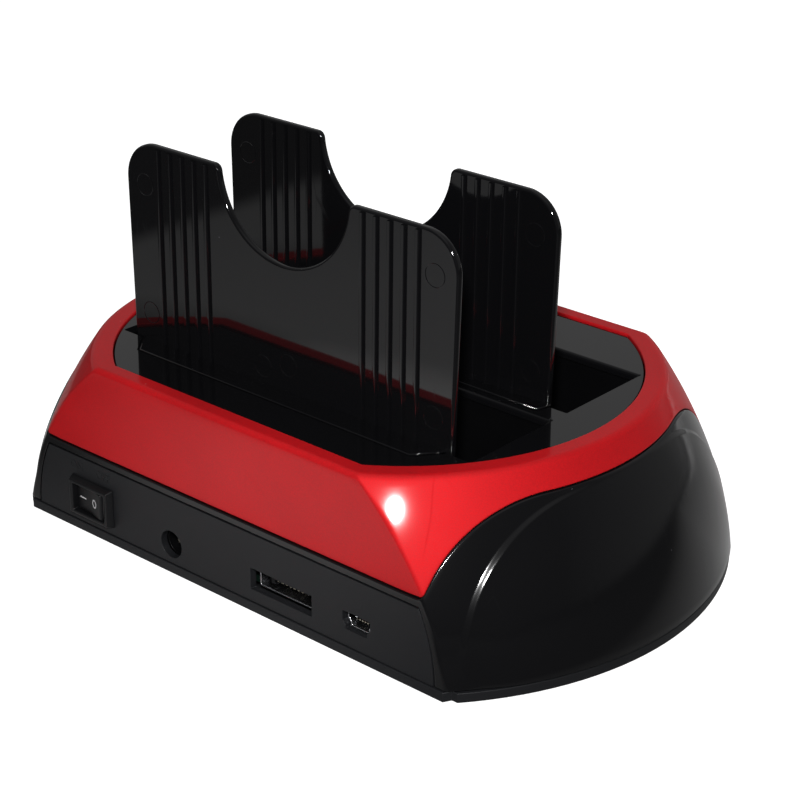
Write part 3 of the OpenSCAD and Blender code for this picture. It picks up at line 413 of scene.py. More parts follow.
def planPoint(column, radius, depth, rounding, edgeX=0.0):
    kind, t, end, side = column
    x, turn = cornerTurn(radius, depth, rounding)
    if kind == "end":
        x, y = t * (edgeX or x), -depth
    elif kind == "strip":
        x, y = mix(edgeX, x, t), -depth
    elif kind == "turn":
        angle = -pi / 2 + t * (pi / 2 - turn)
        x, y = x + rounding * cos(angle), rounding - depth + rounding * sin(angle)
    else:
        y = t * radius * sin(turn)
        return side * (axisX + sqrt(radius * radius - y * y)), y
    return side * x, end * y


def flankShare(column):
    return {"flank": 1.0, "turn": smooth(column[1])}.get(column[0], 0.0)


def partLine(y, grow):
    y = abs(y)
    if y <= shoulderY:
        return bodyForm["partTop"] + grow
    return shoulderZ + sqrt((bodyForm["partR"] + grow) ** 2 - (y - shoulderY) ** 2)


def softRise(rise):
    return bodyForm["tipSoft"] * log(1 + exp(rise / bodyForm["tipSoft"]))


def partHeight(column, rounding, grow, edgeX=0.0):
    kind, t = column[:2]
    low = bodyForm["partEnd"] + grow
    radius, tip = flankRadius(low), cornerX(low)
    x, turn = cornerTurn(radius, halfDepth, rounding)
    if kind == "flank":
        z = 30.0
        for step in range(6):
            rise = partLine(planPoint(column, flankRadius(z), halfDepth, rounding)[1], grow) - low
            z = low + softRise(rise)
        return z
    if kind == "turn":
        rise = mix(bodyForm["tipSlope"] * (x - tip), partLine(radius * sin(turn), grow) - low, t)
    else:
        rise = bodyForm["tipSlope"] * (abs(planPoint(column, radius, halfDepth, rounding, edgeX)[0]) - tip)
    return low + softRise(rise)


# red shell: closed rows from the parting edge over the rim, into the deck's seat and back down inside
redShell = {"ridgeRound": 2.2, "edgeRound": 0.35, "holeRound": 0.3, "wallRows": 16, "rimRows": 8, "innerRows": 4}


def shellColumn(column):
    share, wall, depth = flankShare(column), bodyForm["wall"], halfDepth - bodyForm["shellStep"]
    sideRound, endRound, edge = bodyForm["rimSideRound"], bodyForm["rimEndRound"], redShell["edgeRound"]
    foot = partHeight(column, redShell["ridgeRound"], bodyForm["partGap"] / 2)
    points = []

    def put(z, radius, depth, rounding):
        points.append(planPoint(column, radius, depth, rounding) + (z,))

    for inset in (wall, edge + 0.1):
        put(foot, flankRadius(foot, inset), depth - inset, max(0.3, redShell["ridgeRound"] - inset))
    for i in range(5):
        angle = i / 4 * pi / 2
        inset, z = edge * (1 - sin(angle)), foot + edge * (1 - cos(angle))
        put(z, flankRadius(z, inset), depth - inset, redShell["ridgeRound"])
    rimAngle = asin((bodyHigh - sideRound - crownZ) / (bodyForm["crownR"] - sideRound))
    top = mix(bodyHigh - endRound, bodyHigh - sideRound + sideRound * sin(rimAngle), share)
    for i in range(1, redShell["wallRows"] + 1):
        z = mix(foot + edge, top, (i / redShell["wallRows"]) ** 1.15)
        put(z, flankRadius(z), depth, redShell["ridgeRound"])
    rimRadius = flankRadius(bodyHigh - sideRound, sideRound)
    for i in range(1, redShell["rimRows"] + 1):
        turn = i / redShell["rimRows"]
        side, end = mix(rimAngle, pi / 2, turn), turn * pi / 2
        z = mix(bodyHigh - endRound + endRound * sin(end), bodyHigh - sideRound + sideRound * sin(side), share)
        put(z, rimRadius + sideRound * cos(side), depth - endRound + endRound * cos(end), redShell["ridgeRound"])
    gap, lip = bodyForm["partGap"], redShell["holeRound"]
    hole, seat = bodyForm["deckR"] + gap, bodyForm["deckHalf"] + gap
    for t in (0.04, 0.5, 0.96):
        put(bodyHigh, mix(rimRadius, hole + lip, t), mix(depth - endRound, seat + lip, t), redShell["ridgeRound"])
    for i in range(5):
        angle = i / 4 * pi / 2
        grow = lip * (1 - sin(angle))
        put(bodyHigh - lip * (1 - cos(angle)), hole + grow, seat + grow, 0.6)
    put(bodyHigh - lip - 0.2, hole, seat, 0.6)
    put(bodyHigh - wall, hole, seat, 0.6)
    for i in range(redShell["innerRows"] + 1):
        z = mix(bodyHigh - wall, foot, i / redShell["innerRows"] * 0.98)
        put(z, flankRadius(z, wall), halfDepth - wall, 0.5)
    return points


def ringFaces(columnCount, rowCount):
    faces = []
    for c in range(columnCount):
        d = (c + 1) % columnCount
        for r in range(rowCount):
            s = (r + 1) % rowCount
            faces.append((c * rowCount + r, d * rowCount + r, d * rowCount + s, c * rowCount + s))
    return faces


shellColumns = [shellColumn(c) for c in bodyColumns(14, 0, 8, 120)]
shellFaces = ringFaces(len(shellColumns), len(shellColumns[0]))
redMesh = meshOf("redShell", [p for col in shellColumns for p in col], shellFaces, True)
addPiece("redShell", redMesh, "dock", "red_gloss", "top_shell")
print("red shell:", len(redMesh.polygons), "faces")


# black housing: a thick grid with an opening for each end panel and a soft crease around each side's bulge
blackHousing = {"bottom": 2.35, "cornerRound": 1.9, "panelTop": 20.1, "panelMargin": 1.8, "topRound": 0.38, "topRoundEnd": 0.3,
                "lowRows": 18, "creaseRows": 16, "highRows": 12, "creaseWide": 0.9, "creaseTop": 39.4, "creaseR": 36.0,
                "creaseReach": 15.7, "creaseZ": 2.6, "creaseWideR": 190.456, "bulgeR": 86.0, "bulgeLow": 1.65, "bulgeHigh": 0.9,
                "fadeBelow": 12.0, "fadeWide": 2.0, "creaseStep": 0.5, "swell": 10.0, "footFlare": 1.15, "flareHigh": 11.0}
foot = (flankRadius(bodyForm["flankZ"]) + blackHousing["bulgeLow"], 2.0)
crown = (flankRadius(blackHousing["creaseTop"]) + blackHousing["bulgeHigh"], blackHousing["creaseTop"])
chord = (crown[0] - foot[0], crown[1] - foot[1])
away = sqrt(blackHousing["bulgeR"] ** 2 - (hypot(*chord) / 2) ** 2) / hypot(*chord)
bulgeCentre = ((foot[0] + crown[0]) / 2 - away * chord[1], (foot[1] + crown[1]) / 2 + away * chord[0])
wideZ = blackHousing["creaseTop"] - blackHousing["creaseWideR"]


def creaseDepth(y, z):
    reach, low = blackHousing["creaseReach"], blackHousing["creaseZ"]
    if abs(y) * (low - wideZ) > reach * (z - wideZ):
        return blackHousing["creaseR"] - hypot(abs(y) - reach, z - low)
    return blackHousing["creaseWideR"] - hypot(y, z - wideZ)


def creaseHeight(y):
    reach, low = blackHousing["creaseReach"], blackHousing["creaseZ"]
    wide = wideZ + sqrt(blackHousing["creaseWideR"] ** 2 - y * y)
    if abs(y) * (low - wideZ) <= reach * (wide - wideZ):
        return wide, abs(y) / (wide - wideZ)
    side = min(abs(y) - reach, blackHousing["creaseR"] * 0.985)
    rise = sqrt(blackHousing["creaseR"] ** 2 - side * side)
    return low + rise, side / rise


def bulgeLift(y, z):
    z = max(z, 2.0)
    wide = blackHousing["creaseWide"] + blackHousing["fadeWide"] * (1 - smooth(z / blackHousing["fadeBelow"]))
    depth = creaseDepth(y, z)
    share = mix(smooth(depth / blackHousing["swell"]), smooth((depth + wide / 2) / wide), blackHousing["creaseStep"])
    return (bulgeCentre[0] + sqrt(blackHousing["bulgeR"] ** 2 - (z - bulgeCentre[1]) ** 2) - flankRadius(z)) * share


def footFlare(z):
    return blackHousing["footFlare"] * smooth(1 - z / blackHousing["flareHigh"])


def panelEdge(z):
    return cornerX(z) - blackHousing["panelMargin"]


def housingHeights(column):
    low, mid, high = blackHousing["lowRows"], blackHousing["creaseRows"], blackHousing["highRows"]
    rounding, share = blackHousing["cornerRound"], flankShare(column)
    top = partHeight(column, rounding, -bodyForm["partGap"] / 2, panelEdge(bodyForm["partEnd"]))
    bottom, panelTop = blackHousing["bottom"], blackHousing["panelTop"]
    soften = mix(blackHousing["topRoundEnd"], blackHousing["topRound"], share)
    end = [mix(bottom, panelTop, i / (low + mid)) for i in range(low + mid + 1)]
    end += [mix(panelTop, top - soften, i / high) for i in range(1, high + 1)]
    if share == 0:
        return end, top, soften
    y = planPoint(column if column[0] == "flank" else ("flank", -1.0, 1, 1), flankRadius(15), halfDepth, rounding)[1]
    crease, slope = creaseHeight(y)
    half = min(3.0, 0.72 * blackHousing["creaseWide"] * sqrt(1 + slope * slope))
    crease = max(crease, bottom + half + 2.5)
    crease = min(crease, top - soften - half - 0.12) if top - soften - crease > half * 0.4 else top - soften - half * 0.5
    upper = min(crease + half, top - soften - 0.1)
    flank = [mix(bottom, crease - half, i / low) for i in range(low + 1)]
    flank += [mix(crease - half, upper, i / mid) for i in range(1, mid + 1)]
    flank += [mix(upper, top - soften, i / high) for i in range(1, high + 1)]
    return [mix(a, b, share) for a, b in zip(end, flank)], top, soften


def housingColumn(column):
    heights, top, soften = housingHeights(column)
    share, rounding, wall = flankShare(column), blackHousing["cornerRound"], bodyForm["wall"]
    outer, inner = [], []

    def edgeAt(z):
        return panelEdge(min(z, bodyForm["partEnd"]))

    def put(z, inset, lifted, innerZ):
        radius = flankRadius(z, inset) + footFlare(z)
        x, y = planPoint(column, radius, halfDepth - inset, max(0.6, rounding - inset), edgeAt(z))
        if lifted and column[0] == "flank":
            radius = flankRadius(z, inset) + max(footFlare(z), bulgeLift(y, z))
            x = column[3] * (axisX + sqrt(radius * radius - y * y))
        outer.append((x, y, z))
        inner.append(planPoint(column, flankRadius(innerZ, wall), halfDepth - wall, 0.6, edgeAt(innerZ)) + (innerZ,))

    for z in heights:
        put(z, 0.0, True, z)
    for i in range(1, 6):
        angle = i / 5 * pi / 2
        put(top - soften * (1 - sin(angle)), soften * (1 - cos(angle)), True, mix(heights[-1], top, i / 7))
    put(top, soften + 0.12, False, mix(heights[-1], top, 6 / 7))
    put(top, wall * 0.8, False, top)
    return outer, inner


def thickGrid(name, columns, outer, inner, keep):
    rowCount = len(outer[0])
    count = len(outer) * rowCount
    faces, edges = [], set()
    for c in range(len(outer)):
        d = (c + 1) % len(outer)
        for r in range(rowCount - 1):
            if keep(columns[c], columns[d], r):
                quad = (c * rowCount + r, d * rowCount + r, d * rowCount + r + 1, c * rowCount + r + 1)
                faces += [quad, tuple(v + count for v in reversed(quad))]
                edges.update(zip(quad, quad[1:] + quad[:1]))
    faces += [(b, a, a + count, b + count) for a, b in edges if (b, a) not in edges]
    used = sorted({v for face in faces for v in face})
    number = {v: i for i, v in enumerate(used)}
    allPoints = [p for col in outer for p in col] + [p for col in inner for p in col]
    return meshOf(name, [allPoints[v] for v in used], [tuple(number[v] for v in face) for face in faces], True)


def besidePanel(a, b, row):
    inside = all(c[0] == "end" or (c[0] == "strip" and c[1] == 0) for c in (a, b))
    return not (inside and row < blackHousing["lowRows"] + blackHousing["creaseRows"])


housingColumns = bodyColumns(16, 4, 12, 190)
grid = [housingColumn(c) for c in housingColumns]
blackMesh = thickGrid("blackHousing", housingColumns, [g[0] for g in grid], [g[1] for g in grid], besidePanel)
blackMesh = finishMesh(blackMesh, *bevelled(0.16, 2, 60, False))
addPiece("blackHousing", blackMesh, "dock", "piano_black", "lower_housing", material=housingBlack)
print("black housing:", len(blackMesh.polygons), "faces")


# drive supports: rounded plates with a finger cut-out, a foot flange and a tongue
def roundedPlate(outline, low, high, rounding, place, steps=4):
    count = len(outline)
    moves = []
    for i in range(count):
        (ax, ay), (bx, by), (cx, cy) = outline[i - 1], outline[i], outline[(i + 1) % count]
        first, second = Vector((by - ay, ax - bx)).normalized(), Vector((cy - by, bx - cx)).normalized()
        moves.append((first + second) / max(0.3, 1 + first.dot(second)))
    rings = [(rounding + 0.1, low)]
    rings += [(rounding * (1 - sin(i / steps * pi / 2)), low + rounding * (1 - cos(i / steps * pi / 2))) for i in range(steps + 1)]
    rings += [(inset, high + low - z) for inset, z in reversed(rings)]
    points, faces = [], []
    for inset, h in rings:
        points += [place(x - move.x * inset, y - move.y * inset, h) for (x, y), move in zip(outline, moves)]
    for r in range(len(rings) - 1):
        for i in range(count):
            j = (i + 1) % count
            faces.append((r * count + i, r * count + j, (r + 1) * count + j, (r + 1) * count + i))
    last = (len(rings) - 1) * count
    faces += [tuple(range(count - 1, -1, -1)), tuple(range(last, last + count))]
    return points, faces


def joined(*shells):
    points, faces = [], []
    for shellPoints, shellFaces in shells:
        faces += [tuple(v + len(points) for v in face) for face in shellFaces]
        points += shellPoints
    return points, faces


driveSupport = {"top": 95.4, "thick": 1.8, "half": 51.0, "flare": 0.9, "shift": -0.8, "cornerR": 9.5, "fingerR": 20.4, "fingerRise": 0.9,
                "lipR": 1.9, "flangeTop": 45.1, "flangeThick": 0.5, "tongue": 18.0, "edgeRound": 0.55, "ribFirst": 24.5, "ribPitch": 4.0,
                "ribCount": 5, "ribWide": 1.4, "ribTip": 0.9, "ribProud": 0.7, "ribDrop": 0.75, "ribRound": 0.22,
                "markR": 2.7, "markBead": 0.09}
markSpots = ((-45.4, 85.0), (45.3, 85.3), (-45.0, 52.2), (45.5, 52.0), (-6.7, 49.1), (1.5, 51.5))


def arc(cx, cy, r, start, end, steps):
    return [(cx + r * cos(mix(start, end, i / steps)), cy + r * sin(mix(start, end, i / steps))) for i in range(steps + 1)]


def supportOutline():
    s = driveSupport
    flare = s["flare"] / (s["top"] - s["flangeTop"])
    cornerZ = s["top"] - s["cornerR"]
    cornerMid = s["half"] + flare * (cornerZ - s["flangeTop"]) - s["cornerR"] * sqrt(1 + flare * flare)
    fingerZ, lipZ = s["top"] + s["fingerRise"], s["top"] - s["lipR"]
    lipX = sqrt((s["fingerR"] + s["lipR"]) ** 2 - (fingerZ - lipZ) ** 2)
    toFinger = atan2(fingerZ - lipZ, -lipX)
    deckZ = bodyForm["deckZ"]
    right = [(s["half"] - s["tongue"] / 6, deckZ - s["tongue"]), (s["half"] - 0.15, deckZ - 0.9), (s["half"], deckZ)]
    right += [(mix(s["half"], cornerMid + s["cornerR"], t), mix(deckZ, cornerZ, t)) for t in (0.33, 0.66)]
    right += arc(cornerMid, cornerZ, s["cornerR"], -atan(flare), pi / 2, 20)
    right += [(mix(cornerMid, lipX, t), s["top"]) for t in (0.33, 0.66)]
    right += arc(lipX, lipZ, s["lipR"], pi / 2, toFinger, 8)
    right += arc(0, fingerZ, s["fingerR"], toFinger - pi, -pi / 2, 30)[1:-1]
    return right + [(0.0, fingerZ - s["fingerR"])] + [(-x, z) for x, z in reversed(right)]


def supportMesh(name, rearY, reach, cut):
    s = driveSupport
    plate = roundedPlate(supportOutline(), rearY, rearY + s["thick"], s["edgeRound"], lambda u, v, h: (u + s["shift"], h, v))
    near, far = s["half"] - cut, s["half"] - cut / 4
    outline = [(-near, rearY - reach), (near, rearY - reach), (far, rearY + 0.6), (-far, rearY + 0.6)]
    flange = roundedPlate(outline, s["flangeTop"] - s["flangeThick"], s["flangeTop"], 0.16, lambda u, v, h: (u, v, h), 3)
    return meshOf(name, *joined(plate, flange), True)


supports = [("rearSupport", -31.85, 6.5, 7.5, "rear_support", "rear_drive_support"),
            ("frontSupport", 2.85, 3.5, 1.5, "front_support", "front_drive_support")]
for name, faceY, reach, cut, body, node in supports:
    addPiece(name, supportMesh(name, faceY, reach, cut), body, "piano_black", node)
print("supports:", len(supports))


# geometry node trees for what repeats
def geometryTree(name, inputs):
    tree = bpy.data.node_groups.new(name, "GeometryNodeTree")
    tree.interface.new_socket("Geometry", in_out="INPUT", socket_type="NodeSocketGeometry")
    tree.interface.new_socket("Geometry", in_out="OUTPUT", socket_type="NodeSocketGeometry")
    for label, kind, value in inputs + [("Turn", "Rotation", None), ("Material", "Material", None)]:
        socket = tree.interface.new_socket(label, in_out="INPUT", socket_type="NodeSocket" + kind)
        if value is not None:
            socket.default_value = value
    return tree, tree.nodes.new("NodeGroupInput").outputs, tree.nodes.new("NodeGroupOutput").inputs


def shape(tree, kind, links=None, **settings):
    return addNode(tree, "GeometryNode" + kind, links, **settings).outputs[0]


def gathered(tree, kind, socket, parts, **settings):
    node = addNode(tree, "GeometryNode" + kind, **settings)
    for part in parts:
        tree.links.new(part, node.inputs[socket])
    return node.outputs[0]


def closeTree(tree, given, leave, points, instance):
    copies = shape(tree, "InstanceOnPoints", {"Points": points, "Instance": instance, "Rotation": given["Turn"]})
    real = shape(tree, "RealizeInstances", {"Geometry": copies})
    painted = shape(tree, "SetMaterial", {"Geometry": real, "Material": given["Material"]})
    tree.links.new(painted, leave["Geometry"])
    return tree


def grown(tree, name, slot, points=(), sharp=40, **values):
    mesh = bpy.data.meshes.new(name)
    mesh.from_pydata([place(*point) for point in points], [], [])
    holder = bpy.data.objects.new(name + "Holder", mesh)
    scene.collection.objects.link(holder)
    modifier = holder.modifiers.new("nodes", "NODES")
    modifier.node_group = tree
    values["Material"] = finishes[slot]
    for item in tree.interface.items_tree:
        if item.item_type == "SOCKET" and item.in_out == "INPUT" and item.name in values:
            modifier[item.identifier] = values[item.name]
    depsgraph = bpy.context.evaluated_depsgraph_get()
    made = bpy.data.meshes.new_from_object(holder.evaluated_get(depsgraph), depsgraph=depsgraph)
    bpy.data.objects.remove(holder)
    reworked(made, outward=True)
    made.set_sharp_from_angle(angle=radians(sharp))
    return made


def barRowTree():
    tree, given, leave = geometryTree("barRow", [("Count", "Int", 5), ("Start", "Vector", None), ("Step", "Vector", None),
                                                 ("Foot", "Float", 0.0014), ("Tip", "Float", 0.0009), ("Rise", "Float", 0.0007),
                                                 ("Round", "Float", 0.0002), ("Run", "Vector", None)])
    sides = {"Height": given["Rise"], "Bottom Width": given["Foot"], "Top Width": given["Tip"], "Offset": 0.0}
    section = shape(tree, "CurvePrimitiveQuadrilateral", sides, mode="TRAPEZOID")
    eased = shape(tree, "FilletCurve", {"Curve": section, "Radius": given["Round"], "Limit Radius": True, "Count": 4}, mode="POLY")
    face = shape(tree, "FillCurve", {"Curve": eased}, mode="NGONS")
    drawn = shape(tree, "ExtrudeMesh", {"Mesh": face, "Offset": given["Run"], "Offset Scale": 1.0, "Individual": False})
    under = shape(tree, "FlipFaces", {"Mesh": face})
    both = gathered(tree, "JoinGeometry", 0, (drawn, under))
    closed = shape(tree, "MergeByDistance", {"Geometry": both, "Distance": 1e-7})
    line = shape(tree, "MeshLine", {"Count": given["Count"], "Start Location": given["Start"], "Offset": given["Step"]}, mode="OFFSET")
    return closeTree(tree, given, leave, line, closed)


def ringMarkTree():
    tree, given, leave = geometryTree("ringMarks", [("Radius", "Float", 0.0021), ("Bead", "Float", 0.00008)])
    path = shape(tree, "CurvePrimitiveCircle", {"Resolution": 48, "Radius": given["Radius"]})
    bead = shape(tree, "CurvePrimitiveCircle", {"Resolution": 8, "Radius": given["Bead"]})
    ring = shape(tree, "CurveToMesh", {"Curve": path, "Profile Curve": bead})
    return closeTree(tree, given, leave, given["Geometry"], ring)


def screwTree():
    tree, given, leave = geometryTree("crossScrews", [("Head", "Float", 0.0028), ("High", "Float", 0.0017), ("Shank", "Float", 0.0014),
                                                      ("Long", "Float", 0.01), ("Cross", "Float", 0.0007)])

    def moved(part, z):
        offset = addNode(tree, "ShaderNodeCombineXYZ", {2: z}).outputs[0]
        return shape(tree, "Transform", {"Geometry": part, "Translation": offset})

    def blade(x, y):
        size = addNode(tree, "ShaderNodeCombineXYZ", {0: x, 1: y, 2: math(tree, "MULTIPLY", given["High"], 1.3)})
        return shape(tree, "MeshCube", {"Size": size.outputs[0]})

    head = shape(tree, "MeshCone", {"Vertices": 40, "Radius Top": math(tree, "MULTIPLY", given["Head"], 0.86),
                                    "Radius Bottom": given["Head"], "Depth": given["High"]})
    width = math(tree, "MULTIPLY", given["Head"], 1.15)
    blades = (blade(width, given["Cross"]), blade(given["Cross"], width))
    cross = gathered(tree, "MeshBoolean", 1, blades, operation="UNION", solver="EXACT")
    driven = shape(tree, "MeshBoolean", {0: head, 1: moved(cross, given["High"])}, operation="DIFFERENCE", solver="EXACT")
    shank = shape(tree, "MeshCone", {"Vertices": 24, "Radius Top": given["Shank"], "Radius Bottom": given["Shank"],
                                     "Depth": given["Long"]})
    hung = moved(shank, math(tree, "MULTIPLY", given["Long"], -0.995))
    return closeTree(tree, given, leave, given["Geometry"], gathered(tree, "JoinGeometry", 0, (driven, hung)))


barRow, ringMarks, crossScrews = barRowTree(), ringMarkTree(), screwTree()
ribRise = driveSupport["top"] - driveSupport["ribDrop"] - driveSupport["flangeTop"] + 0.2
for name, faceY, reach, cut, body, node in supports:
    s = driveSupport
    for label, side in (("Left", -1), ("Right", 1)):
        start = place(s["shift"] + side * s["ribFirst"], faceY - s["ribProud"] / 2 + 0.1, s["flangeTop"] - 0.2)
        ribs = grown(barRow, name + "Ribs", "piano_black", sharp=50, Count=s["ribCount"], Start=start,
                     Step=(side * s["ribPitch"] * mm, 0, 0), Foot=s["ribWide"] * mm, Tip=s["ribTip"] * mm,
                     Rise=(s["ribProud"] + 0.2) * mm, Round=s["ribRound"] * mm, Run=(0, 0, ribRise * mm), Turn=(0, 0, pi))
        addPiece(name + "Ribs" + label, ribs, body, "piano_black")
    spots = [(x + s["shift"], faceY - 0.005, z) for x, z in markSpots]
    marks = grown(ringMarks, name + "Marks", "piano_black", points=spots, Radius=s["markR"] * mm, Bead=s["markBead"] * mm,
                  Turn=(pi / 2, 0, 0))
    addPiece(name + "Marks", marks, body, "piano_black")
print("ribs and moulding marks placed")


# pieces that keep the solid's shape, with eased edges: width of the easing in mm, segments, body, slot
easedPieces = {
    "deck": ("top_deck", 0.2, 2, "dock", "piano_black"),
    "basePlate": ("base_plate", 0.2, 2, "dock", "charcoal"),
    "rearPanel": ("rear_panel", 0.14, 2, "dock", "charcoal"),
    "frontPanel": ("front_panel", 0.14, 2, "dock", "charcoal"),
    "switchBezel": ("switch_housing", 0.3, 3, "dock", "socket_black"),
    "switchRocker": ("switch_rocker", 0.16, 2, "rocker", "socket_black"),
    "inletBody": ("inlet_body", 0.12, 2, "dock", "socket_black"),
    "wideShell": ("wide_socket_shell", 0.12, 3, "dock", "bright_shell"),
    "wideTongue": ("wide_socket_tongue", 0.1, 2, "dock", "socket_black"),
    "smallShell": ("small_socket_shell", 0.14, 3, "dock", "bright_shell"),
    "smallTongue": ("small_socket_tongue", 0.12, 2, "dock", "socket_black"),
    "rearDriveSocket": ("rear_drive_socket", 0.15, 2, "dock", "socket_black"),
    "frontDriveSocket": ("front_drive_socket", 0.15, 2, "dock", "socket_black"),
    "backupButton": ("backup_button", 0.35, 3, "button", "socket_black"),
    "rubberFeet": ("rubber_feet", 0.3, 3, "dock", "foot_rubber"),
    "lightPipes": ("light_pipes", 0.2, 3, "dock", "light_clear"),
}
# the inlet body takes the bays' darker black too, painted shade as in the bays
for name, (node, width, segments, body, slot) in easedPieces.items():
    addPiece(name, cadCopy(node, width, segments), body, slot, node, material=shadedWellBlack if name == "inletBody" else None)
print("eased pieces:", len(easedPieces))

# contacts in the sockets: count, first place, step, foot, tip, rise, run, turn about X, Y and Z
contactRows = {
    "rearWideContacts": (15, (3.6, -8.35, 11.3), (1.27, 0, 0), 0.62, 0.5, 0.36, (0, 0, 4.3), (0, 0, pi)),
    "rearNarrowContacts": (7, (28.2, -8.35, 11.3), (1.27, 0, 0), 0.62, 0.5, 0.36, (0, 0, 4.3), (0, 0, pi)),
    "frontWideContacts": (15, (3.6, 26.35, 11.3), (1.27, 0, 0), 0.62, 0.5, 0.36, (0, 0, 4.3), (0, 0, pi)),
    "frontNarrowContacts": (7, (28.2, 26.35, 11.3), (1.27, 0, 0), 0.62, 0.5, 0.36, (0, 0, 4.3), (0, 0, pi)),
    "wideSocketContacts": (7, (15.6, -51.3, 8.05), (1.27, 0, 0), 0.7, 0.6, 0.3, (0, 0, 7.5), (-pi / 2, 0, 0)),
    "smallSocketContacts": (5, (41.0, -52.35, 8.68), (0.8, 0, 0), 0.42, 0.36, 0.3, (0, 0, 6.5), (-pi / 2, 0, 0)),
}
for name, (count, first, step, base, tip, rise, run, turn) in contactRows.items():
    row = grown(barRow, name, "contact_metal", Count=count, Start=place(*first), Step=tuple(v * mm for v in step), Foot=base * mm,
                Tip=tip * mm, Rise=rise * mm, Round=0.08 * mm, Run=tuple(v * mm for v in run), Turn=turn)
    addPiece(name, row, "dock", "contact_metal")

# screws: node, place of one of the four, sizes, turn
screwSets = {
    "baseScrews": ("base_screws", (61.9, 45.0, 1.45), {"Head": 2.8, "High": 1.7, "Shank": 1.4, "Long": 10.5, "Cross": 0.75}, pi),
    "boardScrews": ("board_screws", (50.0, 30.15, 7.5), {"Head": 2.6, "High": 1.6, "Shank": 1.2, "Long": 4.0, "Cross": 0.7}, 0),
}
for name, (node, (x, y, z), sizes, turn) in screwSets.items():
    spots = [(sx * x, sy * y, z) for sx in (-1, 1) for sy in (-1, 1)]
    screws = grown(crossScrews, name, "screw_steel", points=spots, sharp=30, Turn=(turn, 0, 0),
                   **{key: value * mm for key, value in sizes.items()})
    addPiece(name, screws, "dock", "screw_steel", node)
print("contacts and screws placed")

# words over the switch, raised in the panel's own plastic, and the rocker's printed marks
switchMarks = {"words": (("ON", -50.35, 17.15), ("OFF", -40.7, 17.0)), "wordSize": 2.94, "wordProud": 0.1,
               "pivot": (-44.58113, -53.2773, 9.4), "tilt": 8.0, "slope": 4.0, "rise": 2.2, "proud": 0.03,
               "dashLong": 2.3, "dashWide": 0.36, "dashX": -2.75, "ringX": 2.05, "ringR": 1.05, "ringWide": 0.34}


def wordMesh(text, high, proud):
    letters = bpy.data.curves.new(text, "FONT")
    letters.body, letters.align_x, letters.align_y = text, "CENTER", "CENTER"
    letters.size, letters.extrude = high * mm, proud / 2 * mm
    holder = bpy.data.objects.new(text, letters)
    scene.collection.objects.link(holder)
    depsgraph = bpy.context.evaluated_depsgraph_get()
    mesh = bpy.data.meshes.new_from_object(holder.evaluated_get(depsgraph), depsgraph=depsgraph)
    bpy.data.objects.remove(holder)
    return reworked(mesh, merge=1e-6, rounded=False)


for text, x, z in switchMarks["words"]:
    mesh = wordMesh(text, switchMarks["wordSize"], switchMarks["wordProud"])
    spot = place(x, -halfDepth - switchMarks["wordProud"] * 0.4, z)
    mesh.transform(Matrix.Translation(spot) @ Matrix.Rotation(pi / 2, 4, "X"))
    addPiece("word" + text.title(), mesh, "dock", "charcoal")


def onRocker(u, v, out):
    s = switchMarks
    y = -s["rise"] - abs(u) * tan(radians(s["slope"])) - out
    turned = Matrix.Rotation(radians(-s["tilt"]), 3, "Z") @ Vector((u, y, v))
    return tuple(turned + Vector(s["pivot"]))


def rockerMarks():
    s = switchMarks
    half, wide = s["dashLong"] / 2, s["dashWide"] / 2
    dash = [(s["dashX"] + u, v) for u, v in ((-half, -wide), (half, -wide), (half, wide), (-half, wide))]
    points = [onRocker(u, v, out) for out in (-s["proud"], s["proud"]) for u, v in dash]
    faces = [(3, 2, 1, 0), (4, 5, 6, 7)] + [(i, (i + 1) % 4, 4 + (i + 1) % 4, 4 + i) for i in range(4)]
    base, steps = len(points), 40
    turns = [i / steps * 2 * pi for i in range(steps)]
    inside = s["ringR"] - s["ringWide"]
    for r, out in ((inside, -s["proud"]), (s["ringR"], -s["proud"]), (s["ringR"], s["proud"]), (inside, s["proud"])):
        points += [onRocker(s["ringX"] + r * 0.86 * cos(turn), r * 1.12 * sin(turn), out) for turn in turns]
    for k in range(4):
        for i in range(steps):
            j, m = (i + 1) % steps, (k + 1) % 4
            faces.append((base + k * steps + i, base + k * steps + j, base + m * steps + j, base + m * steps + i))
    return meshOf("rockerMarks", points, faces, True)


marksMesh = rockerMarks()
marksMesh.polygons.foreach_set("use_smooth", [False] * len(marksMesh.polygons))
addPiece("rockerMarks", marksMesh, "rocker", "socket_black", material=whitePrint)
print("marks placed")

# stage: pale floor, soft studio light, and a small light beside the lens as in the photograph
stage = {"floorSize": 6.0, "floorGlow": 0.93, "floorSeen": 0.55, "floorZ": -5e-5, "glossShare": 0.03,
         "tableShade": 0.60, "farShade": 0.02, "tableLeft": (-0.203, -0.192), "tableNear": (0.06, 0.125),
         "tableBeyond": (0.10, 0.50), "beyondShare": 0.66,
         # painted reflection: an oval of floor that glows for reflections only
         "reflectGlowMiddle": (-0.02, -0.112, 0.0), "reflectGlowSize": (0.075, 0.03), "reflectGlowShare": 0.6,
         "shadeMiddle": (-0.115, -0.09, 0.0), "shadeSize": (0.055, 0.038), "shadeShare": 0.1,
         "skyAbove": 0.3, "skyLeft": 0.2, "skyRight": 0.15, "skyFill": 0.35,
         "skyBehind": 0.30, "skyBefore": 0.03, "skyEdge": (0.15, 0.80),
         "flashWatts": 2.3, "flashSize": 0.04, "flashLeft": 0.009, "flashUp": 0.060, "flashAim": (0.02, -0.01, 0.035),
         "topWatts": 1.0, "topSize": 0.7, "topAt": (-0.1, 0.1, 0.95), "topAim": (0, 0, 0.02),
         "fillWatts": 3.5, "fillSize": 0.4, "fillAt": (0.05, 0.75, 0.10), "fillAim": (0, 0.05, 0.03)}


# white for the lens and through clear parts, and a share of it in reflections
def shownTo(tree, ray, share):
    seen = math(tree, "MAXIMUM", ray.outputs["Is Camera Ray"], ray.outputs["Is Transmission Ray"])
    return math(tree, "MAXIMUM", seen, math(tree, "MULTIPLY", ray.outputs["Is Glossy Ray"], share))


